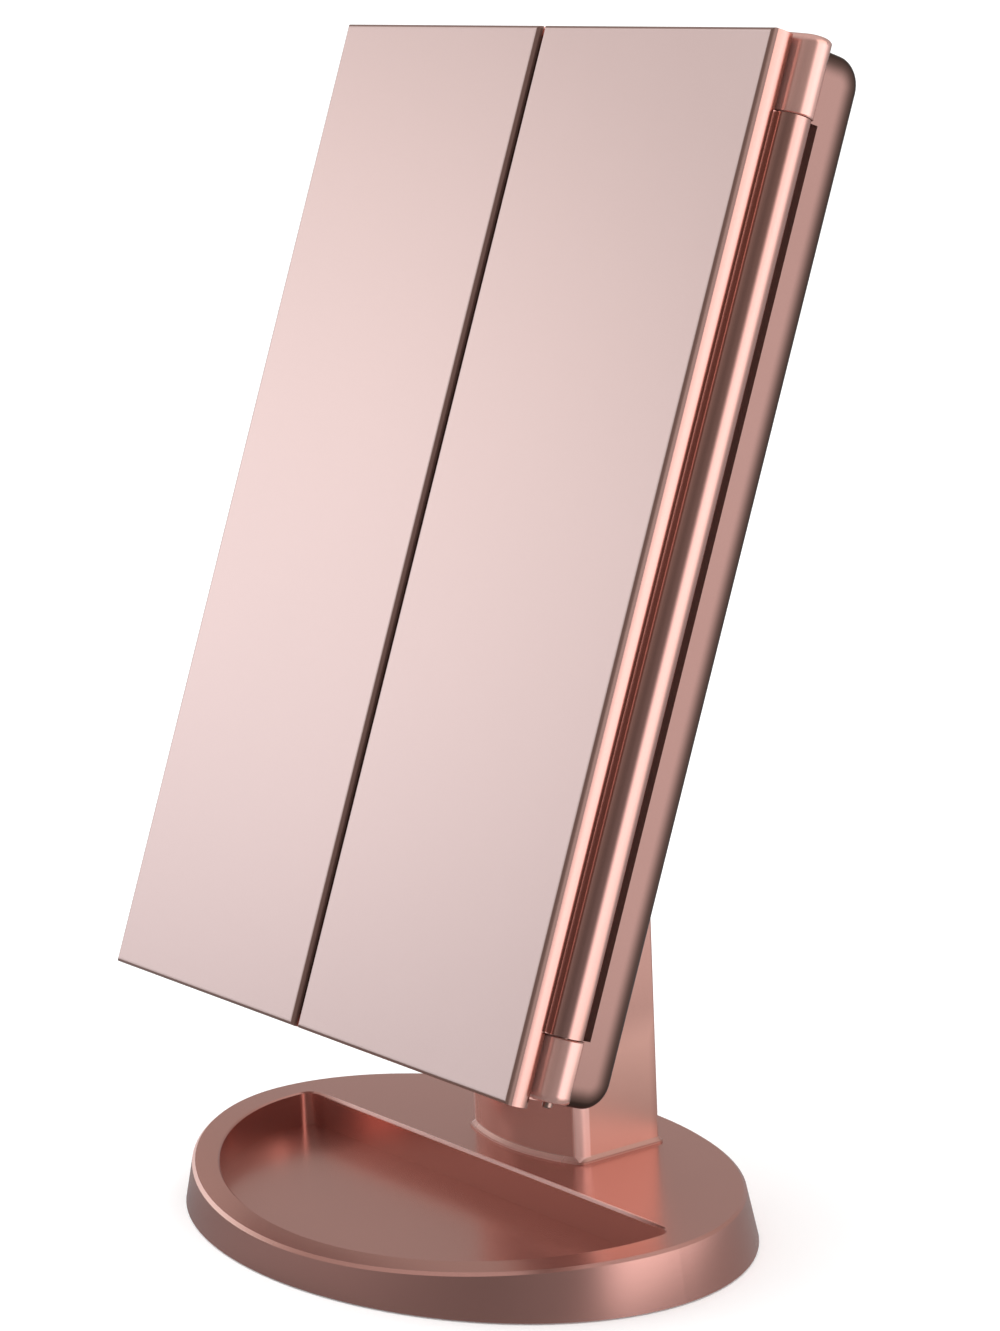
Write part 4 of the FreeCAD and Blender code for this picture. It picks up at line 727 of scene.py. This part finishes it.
def make_screws():
    """The shell's screws from behind, and the bottom cover's and the stem's from below."""
    for name, shape, places, turn, base, body, node in (
            ("shell_screw", SHELL_SCREW, SHELL_SCREW_PLACES, FACING_BACK, HEAD, "head", "shell_screws"),
            ("cover_screw", COVER_SCREW, COVER_SCREW_PLACES, FACING_DOWN, STAND, "stand", "cover_screws"),
            ("stem_screw", STEM_SCREW, STEM_SCREW_PLACES, FACING_DOWN, STAND, "stand", "stem_screws")):
        placements = [base @ in_mm(*place) @ turn for place in places]
        settle_set(make_screw(name, shape), name, placements, body, SCREW_STEEL, node)


FOOT_R = 6.0
FOOT_HEIGHT = 1.0
FOOT_ROUND = 0.3
FOOT_PLACES = [(x, y, 0) for x in (-52, 52) for y in (-30, 32)]
# The sole, from its edge inward: width of the tread, dish and its width, rise of the centre pad and its border.
SOLE_TREAD = 0.9
SOLE_DISH = 0.35
SOLE_DISH_WIDTH = 1.3
SOLE_PAD_RISE = 0.25
SOLE_PAD_BORDER = 0.4


def make_feet():
    """Rubber feet with a rounded sole edge, a dished ring and a raised centre pad."""
    first = cylinder("rubber_foot", FOOT_R, 0.0, FOOT_HEIGHT, 64)
    round_rim(first, FOOT_R, 0.0, FOOT_ROUND, 3)
    edit(first, faces=faces_down(0))
    bpy.ops.mesh.inset(thickness=SOLE_TREAD)
    push_out(SOLE_DISH)
    bpy.ops.mesh.inset(thickness=SOLE_DISH_WIDTH)
    push_out(-SOLE_PAD_RISE)
    bpy.ops.mesh.inset(thickness=SOLE_PAD_BORDER)
    leave_edit()
    placements = [in_mm(*place) for place in FOOT_PLACES]
    settle_set(first, "rubber_foot", placements, "stand", RUBBER, "rubber_feet")


# The touch mark: how far up the glass, its ring and dot, and how deep it is let in and how far it stands proud.
TOUCH_UP = 24
RING_R = 5.4
RING_WIDTH = 0.8
DOT_R = 0.9
MARK_LOW = -0.02
MARK_TOP = 0.05
MARK_ROUND = 0.03


def make_touch_mark():
    """Frosted ring and dot on the centre glass, over the touch sensor."""
    place = HEAD @ in_mm(0, GLASS_DEPTH, TOUCH_UP) @ FACING_FRONT
    ring = cylinder("touch_ring", RING_R, MARK_LOW, MARK_TOP, 96)
    edit(ring, faces=lambda face: abs(face.normal.z) > LEVEL)
    bpy.ops.mesh.inset(thickness=RING_WIDTH)
    bpy.ops.mesh.bridge_edge_loops()
    leave_edit()
    round_rim(ring, RING_R, MARK_TOP, MARK_ROUND, 2)
    settle(ring, place, "head", DIFFUSER)
    dot = cylinder("touch_dot", DOT_R, MARK_LOW, MARK_TOP, 40)
    round_rim(dot, DOT_R, MARK_TOP, MARK_ROUND, 2)
    settle(dot, place, "head", DIFFUSER)


BLOCK_ROUND = 0.35


def small_block(name, across, along, low, high):
    """Block with its top edges rounded, centred over the origin."""
    block = cube(name, across, along, low, high)
    edit(block, faces=faces_up(high))
    bevel(BLOCK_ROUND * (high - low), 3)
    leave_edit()
    return block


def repeat(piece, count, step):
    """Makes a row of a piece within its own mesh."""
    row = piece.modifiers.new("row", "ARRAY")
    row.count = count
    row.use_relative_offset = False
    row.use_constant_offset = True
    row.constant_offset_displace = step
    select_only(piece)
    bpy.ops.object.modifier_apply(modifier="row")


# The charging socket's contacts: how many, their spacing and size, and where the row starts.
CONTACTS = 5
CONTACT_PITCH = 0.65
CONTACT_SIZE = (0.30, 2.6)
CONTACT_HEIGHT = 0.08
CONTACT_START = (2 * CONTACT_PITCH, 43.2, 23.4)
# The lamps of one light strip: how many, over which length, and where they stand on the head.
LAMPS = 11
STRIP_LOW = 16.0
STRIP_HIGH = 237.0
LAMP_ACROSS = 68.2
LAMP_DEPTH = 17.4
PHOSPHOR_SIZE = (1.80, 2.26)
PHOSPHOR_LOW = -0.38
PHOSPHOR_TOP = 0.12


def make_small_electrics():
    """Contacts on the charging socket's tongue, and the phosphor in each lamp's cup."""
    contacts = small_block("usb_contacts", *CONTACT_SIZE, 0.0, CONTACT_HEIGHT)
    repeat(contacts, CONTACTS, (CONTACT_PITCH, 0, 0))
    settle(contacts, in_mm(*CONTACT_START) @ Matrix.Rotation(math.pi, 4, "Y"), "stand", COPPER)
    pitch = (STRIP_HIGH - STRIP_LOW) / LAMPS
    for side, sign in (("left", -1), ("right", 1)):
        lenses = small_block("%s_lamp_phosphor" % side, *PHOSPHOR_SIZE, PHOSPHOR_LOW, PHOSPHOR_TOP)
        repeat(lenses, LAMPS, (0, pitch, 0))
        place = HEAD @ in_mm(sign * LAMP_ACROSS, LAMP_DEPTH, STRIP_LOW + pitch / 2) @ FACING_FRONT
        settle(lenses, place, "head", LED_CASE)


make_screws()
make_feet()
make_touch_mark()
make_small_electrics()


# ---- studio ---------------------------------------------------------------------------------------
# How bright the studio looks by azimuth, in reflections only; azimuth 0 is in front, 90 to the right.
STUDIO_TONES = (
    (-90, 0.74), (-76, 0.66), (-66, 0.38), (-46, 0.30), (-24, 0.36), (0, 0.21), (28, 0.13), (46, 0.22),
    (62, 0.22), (72, 0.30), (80, 1.20), (88, 2.00), (100, 2.08), (122, 2.08), (136, 1.80), (145, 1.05),
    (154, 0.60), (172, 0.46), (205, 0.40), (240, 0.42), (258, 0.60),
)
# The tone overhead, and between which heights it takes over.
TOP_TONE = 0.62
TOP_HEIGHTS = (0.45, 0.95)
# A soft glow at the front left, which the wings' plates mirror.
GLOW_AZIMUTH = math.radians(-59)
GLOW_HEIGHT = math.radians(13.3)
GLOW_REACH = math.radians(9.4)
GLOW_TONE = 0.80
# No tone passes this limit from a low height above the horizon on.
HIGH_LIMIT = 1.80
HIGH_LIMIT_HEIGHT = 0.08
# The light is cool near the horizon and warmer above, between these heights.
WARM_HEIGHTS = (0.10, 0.42)
COOL_TINT = (0.97, 1.0, 1.03, 1)
WARM_TINT = (1.0, 0.93, 0.87, 1)
FAR_LEFT = -90
FULL_TURN = 360.0
BRIGHTEST = 3.0


def direction(azimuth, elevation):
    """Unit vector from the middle of the scene; azimuth 0 is in front."""
    level = math.cos(elevation)
    return Vector((math.sin(azimuth) * level, -math.cos(azimuth) * level, math.sin(elevation)))


def build_studio_surround():
    """Grey of the studio in a given direction: STUDIO_TONES near the horizon, and an even tone overhead."""
    group, given, out = new_group("studio_surround", [("Direction", VECTOR, (0, 0, 1))], [("Colour", COLOUR)])
    round_about = add(group, "TexGradient", gradient_type="RADIAL")
    tones = add(group, "ValToRGB")
    tones.color_ramp.interpolation = "B_SPLINE"
    steps = tones.color_ramp.elements
    while len(steps) > 1:
        steps.remove(steps[-1])
    for number, (azimuth, tone) in enumerate(STUDIO_TONES):
        place = (azimuth - FAR_LEFT) / FULL_TURN
        step = steps[0] if number == 0 else steps.new(place)
        step.position = place
        step.color = (tone / BRIGHTEST, tone / BRIGHTEST, tone / BRIGHTEST, 1)
    scaled = add(group, "VectorMath", {"Scale": BRIGHTEST}, operation="SCALE")
    unit = add(group, "VectorMath", operation="NORMALIZE")
    parts = add(group, "SeparateXYZ")
    limit = add(group, "MapRange", {"From Max": HIGH_LIMIT_HEIGHT, "To Min": BRIGHTEST, "To Max": HIGH_LIMIT})
    limited = add(group, "VectorMath", operation="MINIMUM")
    high = ramp(group, *TOP_HEIGHTS)
    warm = ramp(group, *WARM_HEIGHTS)
    tint = add(group, "Mix", {"A": COOL_TINT, "B": WARM_TINT}, data_type="RGBA")
    tinted = add(group, "Mix", {"Factor": 1.0}, data_type="RGBA", blend_type="MULTIPLY")
    whole = add(group, "Mix", {"B": (TOP_TONE, TOP_TONE, TOP_TONE, 1)}, data_type="RGBA")
    nearness = add(group, "VectorMath", {1: direction(GLOW_AZIMUTH, GLOW_HEIGHT)}, operation="DOT_PRODUCT")
    glow = add(group, "MapRange", {"From Min": math.cos(GLOW_REACH), "To Max": GLOW_TONE})
    lit = add(group, "VectorMath", operation="ADD")
    wire(group,
         (given.outputs["Direction"], round_about.inputs["Vector"]),
         (round_about.outputs["Fac"], tones.inputs["Fac"]), (tones.outputs["Color"], scaled.inputs[0]),
         (given.outputs["Direction"], unit.inputs[0]), (unit.outputs[0], parts.inputs[0]),
         (parts.outputs["Z"], high.inputs["Value"]), (parts.outputs["Z"], warm.inputs["Value"]),
         (warm.outputs[0], tint.inputs["Factor"]), (unit.outputs[0], nearness.inputs[0]),
         (nearness.outputs["Value"], glow.inputs["Value"]), (parts.outputs["Z"], limit.inputs["Value"]),
         (scaled.outputs[0], limited.inputs[0]), (limit.outputs[0], limited.inputs[1]),
         (limited.outputs[0], lit.inputs[0]), (glow.outputs[0], lit.inputs[1]),
         (lit.outputs[0], tinted.inputs["A"]), (tint.outputs["Result"], tinted.inputs["B"]),
         (tinted.outputs["Result"], whole.inputs["A"]), (high.outputs[0], whole.inputs["Factor"]),
         (whole.outputs["Result"], out.inputs["Colour"]))
    return group


STUDIO_SURROUND = build_studio_surround()
DAYLIGHT = 1.15
FLOOR_SIZE = 80.0
FLOOR_GLOW = 0.12
# How the floor's tones fall off towards the stand: between two radii, and how far down.
FLOOR_FALL = (0.10, 0.90)
FLOOR_NEAR_SHARE = 0.85
# No tone passes this limit near the stand; it is lifted between two radii.
FLOOR_LIMIT_FADE = (0.14, 0.34)
FLOOR_NEAR_LIMIT = 0.38


def make_floor_material():
    """Pale floor; in reflections it takes the studio's tones and falls off towards the stand."""
    material = bpy.data.materials.new("studio_floor_pale")
    material.use_nodes = True
    tree = material.node_tree
    shader = tree.nodes["Principled BSDF"]
    shader.inputs["Base Color"].default_value = (0.97, 0.97, 0.97, 1)
    shader.inputs["Roughness"].default_value = 0.9
    shader.inputs["Emission Color"].default_value = (1, 1, 1, 1)
    shader.inputs["Emission Strength"].default_value = FLOOR_GLOW
    place = add(tree, "TexCoord")
    surround = add_group(tree, STUDIO_SURROUND)
    reach = add(tree, "VectorMath", operation="LENGTH")
    fall = ramp(tree, *FLOOR_FALL)
    fall.inputs["To Min"].default_value = FLOOR_NEAR_SHARE
    limit = ramp(tree, *FLOOR_LIMIT_FADE, smooth=False)
    limit.inputs["To Min"].default_value = FLOOR_NEAR_LIMIT
    limit.inputs["To Max"].default_value = BRIGHTEST
    limited = add(tree, "VectorMath", operation="MINIMUM")
    glow = add(tree, "Emission")
    path = add(tree, "LightPath")
    mix = add(tree, "MixShader")
    output = tree.nodes["Material Output"]
    wire(tree,
         (reach.outputs["Value"], limit.inputs["Value"]), (limit.outputs[0], limited.inputs[1]),
         (place.outputs["Object"], surround.inputs["Direction"]),
         (surround.outputs["Colour"], limited.inputs[0]), (limited.outputs[0], glow.inputs["Color"]),
         (place.outputs["Object"], reach.inputs[0]), (reach.outputs["Value"], fall.inputs["Value"]),
         (fall.outputs[0], glow.inputs["Strength"]), (path.outputs["Is Glossy Ray"], mix.inputs["Fac"]),
         (shader.outputs[0], mix.inputs[1]), (glow.outputs[0], mix.inputs[2]),
         (mix.outputs[0], output.inputs["Surface"]))
    return material


def make_floor():
    bpy.ops.object.select_all(action="DESELECT")
    bpy.ops.mesh.primitive_plane_add(size=FLOOR_SIZE, location=(0, 0, 0))
    floor = bpy.context.object
    floor.name = "studio_floor"
    floor.data.materials.append(make_floor_material())


def soft_light(name, place, target, size, watts):
    """Square soft box that looks at a point; neither the camera nor any reflection shows it."""
    lamp = bpy.data.lights.new(name, "AREA")
    lamp.shape = "RECTANGLE"
    lamp.size = lamp.size_y = size
    lamp.energy = watts
    holder = bpy.data.objects.new(name, lamp)
    holder.location = place
    holder.rotation_mode = "QUATERNION"
    holder.rotation_quaternion = (Vector(target) - Vector(place)).to_track_quat("-Z", "Y")
    holder.visible_camera = False
    holder.visible_glossy = False
    bpy.context.scene.collection.objects.link(holder)


def make_light():
    """Even daylight, the surround's tones in reflections only, and a soft box above the front left."""
    world = bpy.data.worlds.new("studio")
    world.use_nodes = True
    tree = world.node_tree
    white = tree.nodes["Background"]
    white.inputs["Color"].default_value = (1.0, 1.0, 1.0, 1)
    white.inputs["Strength"].default_value = DAYLIGHT
    tones = add(tree, "Background")
    place = add(tree, "TexCoord")
    surround = add_group(tree, STUDIO_SURROUND)
    path = add(tree, "LightPath")
    mix = add(tree, "MixShader")
    wire(tree,
         (place.outputs["Generated"], surround.inputs["Direction"]),
         (surround.outputs["Colour"], tones.inputs["Color"]),
         (path.outputs["Is Glossy Ray"], mix.inputs["Fac"]), (white.outputs[0], mix.inputs[1]),
         (tones.outputs[0], mix.inputs[2]), (mix.outputs[0], tree.nodes["World Output"].inputs["Surface"]))
    bpy.context.scene.world = world
    soft_light("top_box", place=(-0.5, -0.4, 1.6), target=(0, 0, 0.1), size=1.6, watts=6)


def make_camera():
    """Camera that looks past LOOK_AT from a distance, rolled and shifted to frame the whole mirror."""
    back = direction(AZIMUTH, ELEVATION)
    right = Vector((math.cos(AZIMUTH), math.sin(AZIMUTH), 0))
    up = back.cross(right)
    rolled_right = right * math.cos(ROLL) + up * math.sin(ROLL)
    rolled_up = up * math.cos(ROLL) - right * math.sin(ROLL)
    data = bpy.data.cameras.new("studio_camera")
    data.sensor_width = SENSOR
    data.lens = FOCAL_PIXELS / PICTURE_H * SENSOR
    data.shift_x = (PICTURE_W / 2 - CENTRE_X) / PICTURE_H
    data.shift_y = (CENTRE_Y - PICTURE_H / 2) / PICTURE_H
    data.clip_start = NEAR_CLIP
    data.clip_end = FAR_CLIP
    camera = bpy.data.objects.new("studio_camera", data)
    bpy.context.scene.collection.objects.link(camera)
    turn = Matrix((rolled_right, rolled_up, back)).transposed()
    camera.matrix_world = Matrix.Translation(LOOK_AT + back * DISTANCE) @ turn.to_4x4()
    bpy.context.scene.camera = camera


make_floor()
make_light()
make_camera()
bpy.context.scene.view_settings.view_transform = "Standard"
